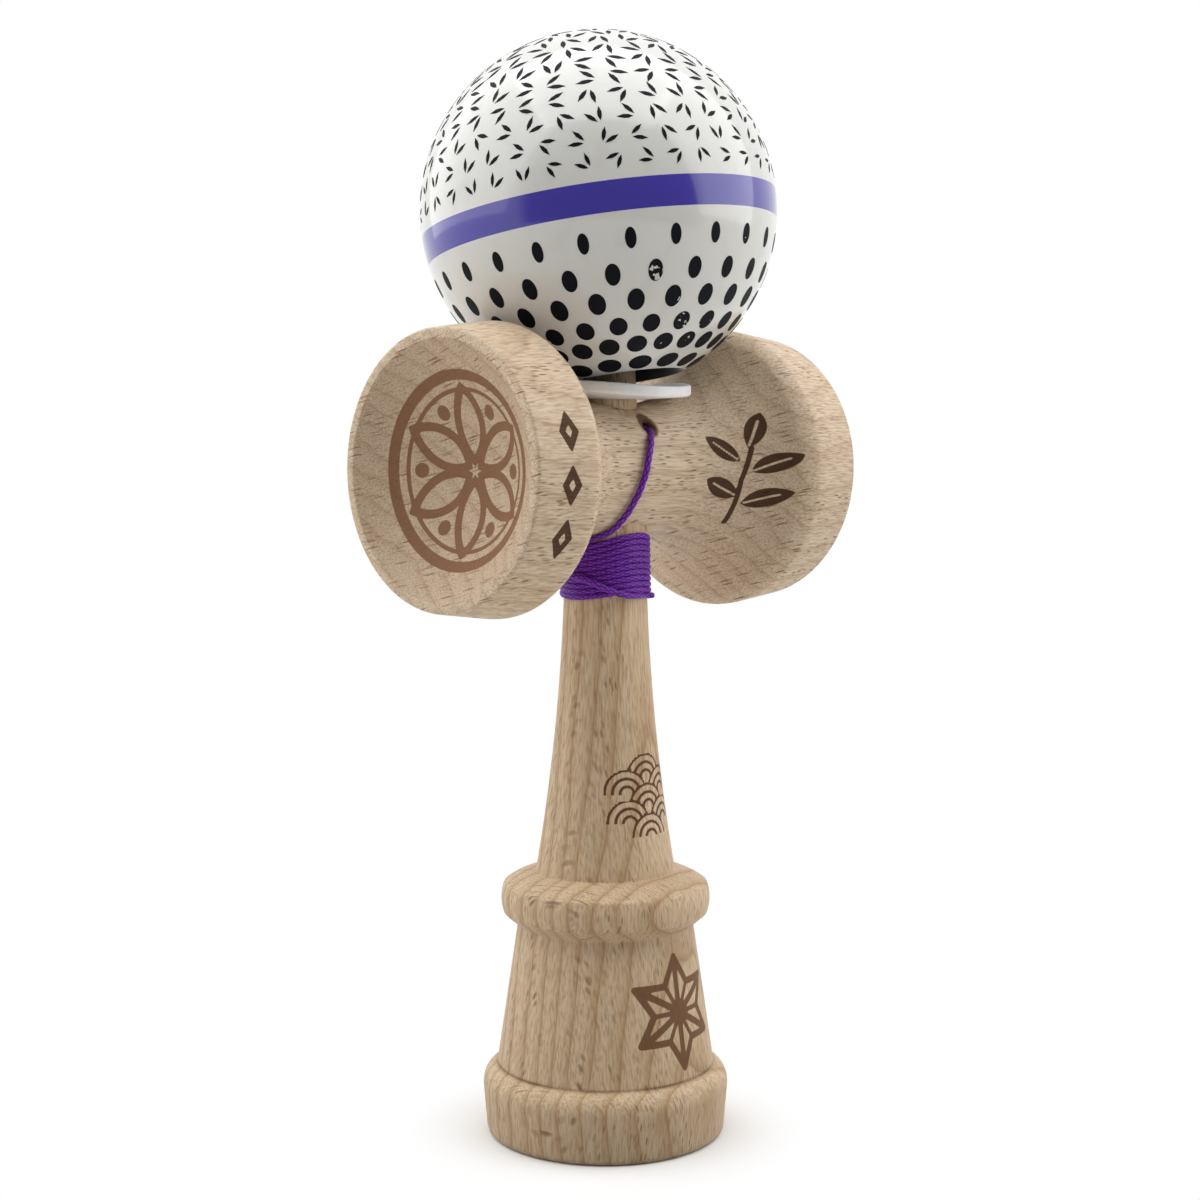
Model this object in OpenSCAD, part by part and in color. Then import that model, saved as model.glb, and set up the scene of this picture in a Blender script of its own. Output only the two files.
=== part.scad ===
// Kendama with its ball on the spike and its string wound round the stem.
// A turned beech spindle (ken) carries a cross piece with two cups (sarado). The ball (tama) sits on the
// spike over a soft washer. One string runs from a knot in the ken, out of the cross piece, round the stem,
// up the back of the ball and through the ball's small hole to a bead and a knot inside.
// Millimetres. The ken's axis is +Z from the underside of its base, and +X points to the large cup.

/* [Ken base] */
// Diameter of the base ring at its widest
base_d = 42.4; // [40:0.2:46]
// Diameter of the base ring just above the floor
base_foot_d = 41.2; // [39.5:0.2:42]
// Height of the base ring
base_h = 12; // [10:0.5:16]
// Height over which the base ring's upper edge is rounded
base_round = 3.6; // [2:0.2:5]
// How far the base ring's upper edge bulges from a straight chamfer
base_bulge = 0.7; // [0:0.1:1]
// Rounding of the base ring's edge at the floor
base_edge = 1.2; // [0.6:0.1:1.6]
// Diameter of the cup in the underside
base_cup_d = 35; // [28:0.5:36]
// Depth of the cup in the underside
base_cup_depth = 6; // [3:0.5:9]

/* [Ken body and stem] */
// Diameter of the body above the base ring
body_low_d = 37.5; // [34:0.2:38]
// Diameter of the body under the flange
body_top_d = 30.3; // [27:0.2:33]
// Height of the body
body_h = 24.3; // [18:0.1:28]
// Diameter of the flange at its widest
flange_d = 36; // [34:0.2:40]
// How far the flange's rim bulges from its edges
flange_bulge = 0.6; // [0.2:0.1:1]
// Height of the slope under the flange's rim
flange_low_h = 2; // [1.5:0.1:4]
// Height of the flange's rim
flange_rim_h = 5; // [3:0.1:7]
// Height of the flange's top
flange_top_h = 2.2; // [2:0.1:5]
// Crown of the flange's top
flange_crown = 0.6; // [0:0.1:0.8]
// Diameter of the stem where it leaves the flange
stem_low_d = 24; // [20:0.2:27]
// Diameter of the stem where it enters the cross piece
stem_top_d = 13.9; // [12.6:0.1:15]
// How far the stem's side is hollowed from a straight taper
stem_hollow = 1.2; // [0:0.1:1.6]
// Length from the top of the flange to the axis of the cross piece
stem_l = 68.9; // [62:0.1:75]

/* [Ken spike] */
// Diameter of the spike where it leaves the cross piece
spike_d = 10.6; // [9.6:0.1:11.4]
// Diameter of the spike's round tip
spike_tip_d = 5; // [4:0.2:6]
// Length of the spike above the cross piece
spike_l = 38.7; // [32:0.2:42]
// How far the spike's side swells from a straight taper
spike_swell = 0.3; // [0:0.1:0.6]

/* [Cross piece] */
// Diameter of the waist
waist_d = 22.8; // [21:0.2:25]
// Length of the straight waist
waist_l = 15; // [13:0.5:18]
// Reach of the small cup's lip from the ken's axis
small_reach = 38.2; // [35:0.2:42]
// Outer diameter of the small cup's lip
small_lip_d = 45.2; // [40:0.2:46]
// Diameter of the small cup's shoulder
small_shoulder_d = 47.5; // [45:0.1:50]
// Width of the small cup's band, from shoulder to lip
small_band = 12.1; // [9:0.1:14]
// Depth of the small cup
small_depth = 8; // [6:0.5:9.5]
// Reach of the large cup's lip from the ken's axis
large_reach = 39.1; // [36:0.2:43]
// Outer diameter of the large cup's lip
large_lip_d = 47.2; // [42:0.2:48]
// Diameter of the large cup's shoulder
large_shoulder_d = 49; // [46:0.1:52]
// Width of the large cup's band, from shoulder to lip
large_band = 12.2; // [9:0.1:14]
// Depth of the large cup
large_depth = 8.5; // [6:0.5:9.5]
// Width of the lips
lip_w = 1.8; // [1.2:0.1:2.5]
// Rounding of the lips' outer edge
lip_edge = 0.6; // [0.3:0.1:0.9]
// Rounding of the shoulders
shoulder_round = 2; // [1:0.1:2.6]
// Clearance of the ken in the cross piece
ken_fit = 0.1; // [0.05:0.05:0.2]
// Diameter of the string hole
string_hole_d = 2.4; // [2:0.1:2.8]
// Height of the string hole above the axis of the cross piece
string_hole_rise = 7; // [6.5:0.1:8]
// Offset of the string hole towards the large cup
string_hole_x = 1.4; // [0.8:0.1:1.6]

/* [Washer] */
// Diameter of the washer
washer_d = 29; // [24:0.5:31]
// Thickness of the washer
washer_t = 1.9; // [1.4:0.1:3]
// Clearance of the washer round the spike
washer_fit = 0.3; // [0.2:0.1:0.6]
// Gap between the washer and the cross piece
washer_gap = 0.15; // [0.1:0.05:0.4]
// Tilt of the washer on the waist, front edge up, in degrees
washer_tilt = 1.4; // [0:0.1:2]
// Radius to which the washer lifts towards the cups
washer_lift_r = 75; // [60:1:80]

/* [Ball] */
// Diameter of the ball
ball_d = 60; // [57:0.5:63]
// Diameter of the hole for the spike
ball_bore_d = 18; // [17.4:0.1:20]
// Diameter of the hole's bevelled mouth on the ball
ball_mouth_d = 21.3; // [20.6:0.1:24]
// Depth of the hole past the ball's centre
ball_bore_past = 18; // [16:0.5:20]
// Diameter of the hole for the string
ball_string_d = 2.6; // [2:0.1:3]
// Lean of the ball on the spike, in degrees
ball_lean = 8.8; // [6:0.1:9.6]
// Direction of the lean, in degrees from the large cup
ball_lean_dir = 106.6; // [95:0.1:115]
// Offset of the ball's centre from the ken's axis towards the large cup
ball_x = -0.7; // [-1:0.05:0]
// Offset of the ball's centre from the ken's axis towards the back
ball_y = 0.95; // [0.4:0.05:1.2]
// Gap between the ball and the washer
ball_gap = 0.15; // [0.1:0.05:0.5]

/* [String] */
// Diameter of the string
string_d = 1.1; // [0.9:0.05:1.2]
// Turns of the string round the stem
wind_turns = 10.65; // [7.65:1:10.65]
// Spacing of the turns
wind_pitch = 0.97; // [0.96:0.002:1.04]
// Space left open between the turns
wind_open = 0.46; // [0.45:0.01:0.5]
// Direction in which the turns start, in degrees from the large cup
wind_from = 187; // [180:1:195]
// Drop from the cross piece to the first turn
wind_drop = 0.9; // [0.6:0.05:1.2]
// Rise of the turns in front and behind, where the round waist leaves room
wind_arch = 2; // [1.4:0.1:2]
// Gap between the string and the stem
wind_gap = 0.12; // [0.1:0.02:0.2]
// Diameter of the bead in the ball
bead_d = 6; // [5:0.2:8]
// Diameter of the bead's hole
bead_hole_d = 1.6; // [1.5:0.1:2]
// Diameter of the knot in the ken
ken_knot_d = 3.2; // [3:0.1:3.6]
// Diameter of the knot in the ball
ball_knot_d = 2.8; // [2.4:0.1:3.4]
// Clearance of the knots and the bead in their seats
knot_fit = 0.1; // [0.05:0.05:0.2]
// Clearance of the knot in its chamber in the ken
knot_room = 0.2; // [0.1:0.05:0.3]
// Depth in the ball's small hole at which the string's outer stretch ends
string_in = 1.5; // [1:0.1:3]

/* [Hidden] */
$fn = 96;

beech = "#C9AF90";
purple = "#5A1690";

// Points on each bowed stretch of an outline
bow_steps = 12;
// Stretch by which a cut runs past the face that it opens
past = 1;

// Heights along the ken
body_z = base_h;
flange_z = body_z + body_h;
rim_z = flange_z + flange_low_h;
rim_top_z = rim_z + flange_rim_h;
stem_z = rim_top_z + flange_top_h;
sarado_z = stem_z + stem_l;
seat_z = sarado_z - waist_d / 2;
spike_z = sarado_z + waist_d / 2;
tip_z = spike_z + spike_l;
string_z = sarado_z + string_hole_rise;

// The washer lies on the waist, tilted up at the front and bent up towards the cups
washer_z = spike_z + washer_gap;
washer_bore_d = spike_d + 2 * washer_fit;
function washer_top(p) = washer_z + washer_t + p[0] * p[0] / 2 / washer_lift_r - p[1] * tan(washer_tilt);

// The ball leans, and the edge of its mouth rests on the washer where it first meets it
ball_axis = [
  sin(ball_lean) * cos(ball_lean_dir),
  sin(ball_lean) * sin(ball_lean_dir),
  cos(ball_lean)
];
mouth_s = sqrt(pow(ball_d / 2, 2) - pow(ball_mouth_d / 2, 2));
mouth_u = [cos(ball_lean) * cos(ball_lean_dir), cos(ball_lean) * sin(ball_lean_dir), -sin(ball_lean)];
mouth_v = cross(ball_axis, mouth_u);
mouth_edge = [
  for (a = [0 : 5 : 355])
    [ball_x, ball_y, 0] - mouth_s * ball_axis + ball_mouth_d / 2 * (cos(a) * mouth_u + sin(a) * mouth_v)
];
ball_z = max([for (p = mouth_edge) washer_top(p) - p[2]]) + ball_gap;
ball_centre = [ball_x, ball_y, ball_z];

// Height of a knot's flat end from its middle, as a share of its radius
knot_cut = 0.75;
// Along the ball's own axis, from its centre towards the string hole
bead_s = ball_bore_past - sqrt(pow(bead_d / 2, 2) - pow(ball_string_d / 2, 2)) - knot_fit;
bead_low_s = bead_s - sqrt(pow(bead_d / 2, 2) - pow(bead_hole_d / 2, 2));
ball_knot_s = bead_low_s - sqrt(pow(ball_knot_d / 2, 2) - pow(bead_hole_d / 2, 2)) - knot_fit;
inner_low_s = ball_knot_s + knot_cut * ball_knot_d / 2;
inner_top_s = ball_d / 2 - string_in;

function unit(v) = v / norm(v);

// A stretch of outline from a to b that bulges by sag to the right of its direction
function bow(a, b, sag) =
  let (side = unit([b[1] - a[1], a[0] - b[0]]))
  [for (i = [0 : bow_steps]) let (t = i / bow_steps) a + t * (b - a) + 4 * sag * t * (1 - t) * side];

// Sag of a bow that stands for a quarter circle
function quarter_sag(r) = r * (1 - cos(45));

// Radius of the stem at a height
function stem_r(z) =
  let (t = (z - stem_z) / (seat_z - stem_z))
  (stem_low_d + t * (stem_top_d - stem_low_d)) / 2 - 4 * stem_hollow * t * (1 - t);

// Radius of a sphere that cuts a dish of a given mouth and depth
function dish_r(mouth_d, depth) = (pow(mouth_d / 2, 2) + depth * depth) / 2 / depth;

// A place on the ball's own axis, at a distance from its centre
function on_ball_axis(s) = ball_centre + s * ball_axis;

// One cup's side from its lip to the waist, as [radius, distance from the ken's axis]
function cup_side(reach, lip_d, shoulder_d, band) =
  let (
    shoulder = reach - band,
    edge = [lip_d / 2 - lip_edge, reach],
    band_top = [lip_d / 2, reach - lip_edge],
    band_end = [shoulder_d / 2, shoulder + shoulder_round / 2],
    flare_end = [shoulder_d / 2 - shoulder_round, shoulder - shoulder_round],
    span = flare_end[1] - waist_l / 2,
    rise = flare_end[0] - waist_d / 2,
    flare_r = (span * span + rise * rise) / 2 / rise,
    turn = 2 * atan(rise / span),
    flare = [
      for (i = [bow_steps : -1 : 0]) let (a = turn * i / bow_steps)
        [waist_d / 2 + flare_r * (1 - cos(a)), waist_l / 2 + flare_r * sin(a)]
    ]
  )
  concat(
    bow(edge, band_top, -quarter_sag(lip_edge)),
    bow(band_end, flare_end, -quarter_sag(shoulder_round) / 2),
    flare
  );

// Points along the winding's middle, with a straight end of one tube diameter at each end
wind_rings = 24;
// Part of a turn in which the string draws tight on the stem at each end
wind_grip = 0.25;
wind_tube_d = wind_pitch - wind_open;
wind_z = seat_z - wind_drop;
function wind_at(turn) =
  let (
    a = wind_from - 360 * turn,
    z = wind_z - wind_pitch * turn + wind_arch * pow(sin(a), 2),
    grip = min(1, turn / wind_grip, (wind_turns - turn) / wind_grip),
    r = stem_r(z) + wind_gap + (grip * wind_tube_d + (1 - grip) * string_d) / 2
  )
  [r * cos(a), r * sin(a), z];
wind_steps = ceil(wind_turns * wind_rings);
wind_body = [for (i = [0 : wind_steps]) wind_at(wind_turns * i / wind_steps)];
wind_first = unit(wind_body[1] - wind_body[0]);
wind_last = unit(wind_body[wind_steps] - wind_body[wind_steps - 1]);
wind_route = concat(
  [wind_body[0] - wind_tube_d * wind_first],
  wind_body,
  [wind_body[wind_steps] + wind_tube_d * wind_last]
);
wind_start = wind_route[0];
wind_end = wind_route[len(wind_route) - 1];

// The turns' least gap, measured between points that lie half a turn or more apart
least_gap = min([
  for (i = [0 : len(wind_body) - 1], j = [i + wind_rings / 2 : 1 : len(wind_body) - 1])
    norm(wind_body[i] - wind_body[j])
]) - wind_tube_d;
echo(str("Least gap between the turns of the string: ", least_gap, " mm"));

// From the knot out of the string hole, down the front of the waist and under it to the first turn
lead_points = concat(
  [
    for (p = [[0, 0, 0], [0, -4, 0], [0, -7.6, 0], [-0.25, -9.2, -0.1], [-1, -10.3, -0.6]])
      [string_hole_x, 0, string_z] + p
  ],
  [
    [-0.5, -10.9, 119.8], [-1.1, -11.4, 118.6], [-1.8, -11.8, 117.3], [-2.5, -12.1, 115.9], [-3.1, -12.2, 114],
    [-3.7, -12, 112.3], [-4.2, -11.6, 110.6], [-4.7, -10.9, 109], [-5, -10.1, 107.6], [-5.3, -9.2, 106.4],
    [-5.5, -7.7, 105], [-5.8, -5.9, 103.8], [-6.7, -3.5, 102.85]
  ],
  [wind_start - wind_first, wind_start]
);

// From the last turn across the front of the winding, as [radius, direction, height]
tail_turn = [
  [8.1, 296, 92.7], [8.8, 272, 93], [9, 248, 93.3], [9, 224, 93.8], [9, 200, 94.4], [9, 178, 95.2],
  [9, 156, 96.2], [9, 134, 97.3], [9.1, 114, 98.7]
];
// Then up behind the waist, over the back of the ball to its small hole
tail_rise = [
  [-1, 10.2, 102], [-0.5, 11.8, 107], [-0.3, 12.6, 112], [-0.3, 13.4, 117], [-0.4, 16.6, 123.5],
  [-0.5, 20.6, 130], [-0.6, 24.8, 136.5], [-0.7, 28.6, 143.6], [-0.7, 31, 150.6], [-0.8, 31.8, 157.6],
  [-0.8, 31.1, 164.6], [-0.9, 28.8, 171.2], [-1.1, 25, 177], [-1.3, 20, 181.8], [-1.5, 14.4, 185.3],
  [-1.8, 11.2, 186.5], [-2, 8.8, 187.2], [-2, 7.5, 187.5], [-2, 6.5, 187.45]
];
tail_points = concat(
  [wind_end, wind_end + wind_last],
  [for (p = tail_turn) [p[0] * cos(p[1]), p[0] * sin(p[1]), p[2]]],
  tail_rise,
  [on_ball_axis(inner_top_s + string_d), on_ball_axis(inner_top_s + knot_fit)]
);

// A smooth line through the points, with a number of steps between each two
function between(a, b, c, d, t) =
  (2 * b + (c - a) * t + (2 * a - 5 * b + 4 * c - d) * t * t + (3 * b - a - 3 * c + d) * t * t * t) / 2;
function smooth(p, steps) =
  let (last = len(p) - 1)
  concat(
    [
      for (i = [0 : last - 1], k = [0 : steps - 1])
        between(p[max(i - 1, 0)], p[i], p[i + 1], p[min(i + 2, last)], k / steps)
    ],
    [p[last]]
  );

// Two directions across a route at each of its points, carried along it without twist
function along(p, i) = unit(p[min(i + 1, len(p) - 1)] - p[max(i - 1, 0)]);
function square_to(t) = unit(cross(t, abs(t[2]) < 0.8 ? [0, 0, 1] : [1, 0, 0]));
function carried(p, i = 0, side = undef, done = []) =
  i == len(p) ? done :
  let (
    t = along(p, i),
    from = i == 0 ? square_to(t) : side,
    u = unit(from - (from * t) * t)
  )
  carried(p, i + 1, u, concat(done, [[u, cross(t, u)]]));

// A closed tube of a diameter along a route
module tube(route, d, sides) {
  across = carried(route);
  rings = len(route);
  corners = [
    for (i = [0 : rings - 1], k = [0 : sides - 1]) let (a = 360 * k / sides)
      route[i] + d / 2 * (cos(a) * across[i][0] + sin(a) * across[i][1])
  ];
  walls = [
    for (i = [0 : rings - 2], k = [0 : sides - 1]) let (
      a = i * sides + k,
      b = i * sides + (k + 1) % sides
    )
    each [[a, a + sides, b + sides], [a, b + sides, b]]
  ];
  first_end = [for (k = [1 : sides - 2]) [0, k, k + 1]];
  last_end = [for (k = [1 : sides - 2]) [for (j = [0, k + 1, k]) (rings - 1) * sides + j]];
  polyhedron(corners, concat(walls, first_end, last_end));
}

// A knot in the string, cut flat where the string enters it from above
module knot(d) {
  intersection() {
    sphere(d = d);
    translate([-d, -d, -d]) cube([2 * d, 2 * d, d + knot_cut * d / 2]);
  }
}

// Puts what is drawn about the origin on the ball, along the ball's own axis
module on_ball() {
  translate(ball_centre) rotate([0, ball_lean, ball_lean_dir]) children();
}

module ken() {
  foot_r = base_foot_d / 2;
  base_r = base_d / 2;
  rim_r = flange_d / 2 - flange_bulge;
  tip_r = spike_tip_d / 2;
  round_z = base_h - base_round;
  cup_r = dish_r(base_cup_d, base_cup_depth);
  outline = concat(
    [[0, 0]],
    bow([foot_r - base_edge, 0], [foot_r, base_edge], quarter_sag(base_edge)),
    bow([base_r, round_z], [body_low_d / 2, base_h], base_bulge),
    [[body_top_d / 2, flange_z]],
    bow([rim_r, rim_z], [rim_r, rim_top_z], flange_bulge),
    bow([rim_r, rim_top_z], [stem_low_d / 2, stem_z], flange_crown),
    [for (i = [1 : bow_steps]) let (z = stem_z + i / bow_steps * (seat_z - stem_z)) [stem_r(z), z]],
    bow([spike_d / 2, spike_z], [tip_r, tip_z - tip_r], spike_swell),
    bow([tip_r, tip_z - tip_r], [0, tip_z], quarter_sag(tip_r))
  );
  color(beech) difference() {
    rotate_extrude() polygon(outline);
    translate([0, 0, base_cup_depth - cup_r]) sphere(r = cup_r);
    // The string's way in from the front, and the knot's chamber from the back
    translate([string_hole_x, 0, string_z]) rotate([90, 0, 0]) cylinder(d = string_hole_d, h = spike_d);
    translate([string_hole_x, 0, string_z]) rotate([-90, 0, 0])
      cylinder(d = ken_knot_d + 2 * knot_room, h = spike_d);
  }
}

module sarado() {
  small_side = cup_side(small_reach, small_lip_d, small_shoulder_d, small_band);
  large_side = cup_side(large_reach, large_lip_d, large_shoulder_d, large_band);
  count = len(small_side);
  outline = concat(
    [[0, large_reach]],
    large_side,
    [for (i = [count - 1 : -1 : 0]) [small_side[i][0], -small_side[i][1]]],
    [[0, -small_reach]]
  );
  small_r = dish_r(small_lip_d - 2 * lip_w, small_depth);
  large_r = dish_r(large_lip_d - 2 * lip_w, large_depth);
  bore_h = waist_d + 2 * past;
  taper = (stem_top_d - spike_d) / waist_d * past;
  color(beech) translate([0, 0, sarado_z]) difference() {
    rotate([0, 90, 0]) rotate_extrude() polygon(outline);
    translate([-small_reach - small_r + small_depth, 0, 0]) sphere(r = small_r);
    translate([large_reach + large_r - large_depth, 0, 0]) sphere(r = large_r);
    translate([0, 0, -bore_h / 2])
      cylinder(d1 = stem_top_d + taper + 2 * ken_fit, d2 = spike_d - taper + 2 * ken_fit, h = bore_h);
    translate([string_hole_x, 0, string_hole_rise]) rotate([90, 0, 0])
      cylinder(d = string_hole_d, h = waist_d);
  }
}

module spike_washer() {
  tall = washer_d / 2;
  color("#EDEDED") translate([0, 0, washer_z]) rotate([-washer_tilt, 0, 0]) intersection() {
    translate([0, 0, -tall]) difference() {
      cylinder(d = washer_d, h = 2 * tall);
      translate([0, 0, -past]) cylinder(d = washer_bore_d, h = 2 * tall + 2 * past);
    }
    translate([0, washer_d, 0]) rotate([90, 0, 0]) linear_extrude(2 * washer_d) intersection() {
      translate([0, washer_lift_r]) difference() {
        circle(r = washer_lift_r);
        circle(r = washer_lift_r - washer_t);
      }
      translate([-washer_d, -past]) square([2 * washer_d, washer_t + tall]);
    }
  }
}

module tama() {
  bevel_h = (ball_mouth_d - ball_bore_d) / 2;
  low = ball_d / 2 + past - mouth_s;
  color("#E8E8E4") on_ball() difference() {
    sphere(d = ball_d);
    translate([0, 0, -ball_d]) cylinder(d = ball_bore_d, h = ball_d + ball_bore_past);
    translate([0, 0, -mouth_s - low])
      cylinder(d1 = ball_mouth_d + 2 * low, d2 = ball_bore_d, h = low + bevel_h);
    cylinder(d = ball_string_d, h = ball_d);
  }
}

module ken_knot() {
  color(purple) translate([string_hole_x, knot_cut * ken_knot_d / 2, string_z]) rotate([90, 0, 0])
    knot(ken_knot_d);
}

module string_lead() {
  color(purple) tube(smooth(lead_points, 2), string_d, 8);
}

module string_winding() {
  color(purple) tube(wind_route, wind_tube_d, 6);
}

module string_tail() {
  color(purple) tube(smooth(tail_points, 2), string_d, 8);
}

module string_inner() {
  color(purple) on_ball() translate([0, 0, inner_low_s])
    cylinder(d = string_d, h = inner_top_s - inner_low_s);
}

module string_bead() {
  color("#D8C29A") on_ball() translate([0, 0, bead_s]) difference() {
    sphere(d = bead_d);
    translate([0, 0, -bead_d]) cylinder(d = bead_hole_d, h = 2 * bead_d);
  }
}

module tama_knot() {
  color(purple) on_ball() translate([0, 0, ball_knot_s]) knot(ball_knot_d);
}

ken();
sarado();
spike_washer();
tama();
ken_knot();
string_lead();
string_winding();
string_tail();
string_inner();
string_bead();
tama_knot();
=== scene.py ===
# %% [markdown]
# A kendama, dressed over its working frame. The frame holds the solids, the joints and the sizes. This
# script gives each piece its finished form and surface: turned beech, a lacquered ball, a braided string
# and a soft washer. Every length that is written in millimetres is turned to metres once, where it is used.

# %% Load the frame
import math

import bmesh
import bpy
import numpy as np
from mathutils import Matrix, Vector


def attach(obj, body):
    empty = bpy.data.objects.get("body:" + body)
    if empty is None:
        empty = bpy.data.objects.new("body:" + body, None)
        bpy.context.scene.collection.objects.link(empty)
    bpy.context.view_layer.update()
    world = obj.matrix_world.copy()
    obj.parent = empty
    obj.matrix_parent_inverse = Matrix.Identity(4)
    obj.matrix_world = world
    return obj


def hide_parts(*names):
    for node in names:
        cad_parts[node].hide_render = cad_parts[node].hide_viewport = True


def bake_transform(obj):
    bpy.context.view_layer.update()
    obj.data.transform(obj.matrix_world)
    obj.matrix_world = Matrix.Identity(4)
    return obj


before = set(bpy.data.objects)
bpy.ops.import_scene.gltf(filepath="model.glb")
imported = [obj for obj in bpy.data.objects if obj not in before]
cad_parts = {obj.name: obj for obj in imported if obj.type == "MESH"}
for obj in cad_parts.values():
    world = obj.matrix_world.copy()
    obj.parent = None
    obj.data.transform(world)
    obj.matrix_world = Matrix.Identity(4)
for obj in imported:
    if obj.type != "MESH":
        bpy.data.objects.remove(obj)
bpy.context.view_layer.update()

MM = 0.001

# %% [markdown]
# The camera stands where the photograph was taken from: a third of a metre away, at the height of the cross
# piece, looking a little down. It could be aimed with a constraint, but an angle and a distance about the
# ken's own axis are easier to read and to change.

# %% Camera
camera_turn = math.radians(-46.6)
camera_distance = 342.67 * MM
camera_height = 118.77 * MM
camera_dip = math.radians(4.46)
image_px = 1200
focal_px = 2008.5
ken_axis_px = 605.47
sensor_mm = 36

camera_data = bpy.data.cameras.new("camera")
camera_data.sensor_width = sensor_mm
camera_data.lens = sensor_mm * focal_px / image_px
camera_data.shift_x = (image_px / 2 - ken_axis_px) / image_px
camera = bpy.data.objects.new("camera", camera_data)
camera.location = (
    camera_distance * math.sin(camera_turn),
    -camera_distance * math.cos(camera_turn),
    camera_height,
)
camera.rotation_euler = (math.pi / 2 - camera_dip, 0, camera_turn)
bpy.context.scene.collection.objects.link(camera)
bpy.context.scene.camera = camera
print("camera at", [round(x, 4) for x in camera.location], "lens", round(camera_data.lens, 2), "mm")

# %% [markdown]
# All meshes here come from lists of points and faces, so one helper makes the object. Merging the doubles
# first lets the normals be turned outwards as one closed skin.

# %% Mesh helper
def new_piece(name, points, faces):
    mesh = bpy.data.meshes.new(name)
    mesh.from_pydata([tuple(p) for p in points], [], faces)
    shell = bmesh.new()
    shell.from_mesh(mesh)
    bmesh.ops.remove_doubles(shell, verts=shell.verts, dist=1e-8)
    bmesh.ops.recalc_face_normals(shell, faces=shell.faces)
    shell.to_mesh(mesh)
    shell.free()
    mesh.shade_smooth()
    piece = bpy.data.objects.new(name, mesh)
    bpy.context.scene.collection.objects.link(piece)
    return piece


def coordinates(piece):
    points = np.empty(len(piece.data.vertices) * 3)
    piece.data.vertices.foreach_get("co", points)
    return points.reshape(-1, 3)


def set_attribute(piece, name, values):
    layer = piece.data.attributes.get(name) or piece.data.attributes.new(name, "FLOAT", "POINT")
    layer.data.foreach_set("value", np.asarray(values, np.float32))


print("mesh helpers ready")

# %% [markdown]
# The string is one braided cord. It is knotted inside the ken, leaves the cross piece by a small hole,
# drops under the waist, winds round the stem, then climbs behind the ball and goes in at the ball's top. A
# curve with a round bevel would give a smooth hose. A swept mesh can carry the braid itself, so each ring
# of the sweep is pushed out where a strand crosses over and drawn in where two strands meet.

# %% Route of the string, in millimetres
stem_low_r, stem_top_r, stem_hollow = 12.0, 6.95, 1.2
stem_z, seat_z, spike_z = 45.5, 103.0, 125.8
string_d = 1.1
string_hole = np.array([1.4, 0, 121.4])
wind_turns, wind_pitch, wind_from, wind_z = 10.65, 0.915, 187, 102.1
wind_arch, wind_low_arch, wind_space = 2.0, 0.9, 0.97
wind_gap, wind_tube_d, wind_grip = 0.12, 0.51, 0.25
ball_centre = np.array([-0.7, 0.95, 157.373])
ball_r = 30.0
ball_lean, ball_lean_turn = math.radians(8.8), math.radians(106.6)
ball_axis = np.array([
    math.sin(ball_lean) * math.cos(ball_lean_turn),
    math.sin(ball_lean) * math.sin(ball_lean_turn),
    math.cos(ball_lean),
])


def stem_radius(z):
    t = (z - stem_z) / (seat_z - stem_z)
    return stem_low_r + t * (stem_top_r - stem_low_r) - 4 * stem_hollow * t * (1 - t)


def polar(radius, degrees, z):
    turn = np.radians(degrees)
    return np.array([radius * np.cos(turn), radius * np.sin(turn), z])


def wind_at(turn):
    degrees = wind_from - 360 * turn
    arch = wind_arch + (wind_low_arch - wind_arch) * turn / wind_turns
    z = wind_z - wind_pitch * turn + arch * math.sin(math.radians(degrees)) ** 2
    grip = min(1, turn / wind_grip, (wind_turns - turn) / wind_grip)
    return polar(stem_radius(z) + wind_gap + (grip * wind_tube_d + (1 - grip) * string_d) / 2, degrees, z)


def smooth_line(points, steps):
    last = len(points) - 1
    line = []
    for i in range(last):
        a, b, c, d = (points[min(max(i + k, 0), last)] for k in (-1, 0, 1, 2))
        for k in range(steps):
            t = k / steps
            line.append(
                b + (c - a) * t / 2 + (2 * a - 5 * b + 4 * c - d) * t**2 / 2
                + (3 * b - a - 3 * c + d) * t**3 / 2
            )
    return line + [points[last]]


wind_steps = round(wind_turns * 48)
turns = [wind_at(wind_turns * i / wind_steps) for i in range(wind_steps + 1)]
first_way = (turns[1] - turns[0]) / np.linalg.norm(turns[1] - turns[0])
last_way = (turns[-1] - turns[-2]) / np.linalg.norm(turns[-1] - turns[-2])
wind_start = turns[0] - wind_tube_d * first_way
wind_end = turns[-1] + wind_tube_d * last_way

hole_points = [[0, 0, 0], [0, -4, 0], [0.1, -6.8, -0.1], [0.3, -8.4, -0.5], [-0.75, -9.8, -1.1]]
front_points = [
    [-0.5, -10.9, 119.5], [-1.1, -11.4, 118.6], [-1.8, -11.8, 117.3], [-2.5, -12.1, 115.9],
    [-3.1, -12.2, 114], [-3.7, -12, 112.3], [-4.2, -11.6, 110.6], [-4.7, -10.9, 109], [-5, -10.1, 107.6],
    [-5.3, -9.2, 106.4], [-5.5, -7.7, 105], [-5.8, -5.9, 103.8], [-6.7, -3.5, 102.85],
]
lead_points = (
    [string_hole + p for p in hole_points]
    + [np.array(p, float) for p in front_points]
    + [wind_start - first_way, wind_start]
)
tail_turn = [
    [7.35, 296, 93], [7.6, 272, 93.15], [8.2, 248, 93.4], [8.5, 226, 94.4], [8.5, 208, 95.6],
    [8.5, 190, 96.4], [8.6, 172, 96.9], [8.8, 152, 97.4], [9, 132, 98], [9.1, 114, 98.8],
]
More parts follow.
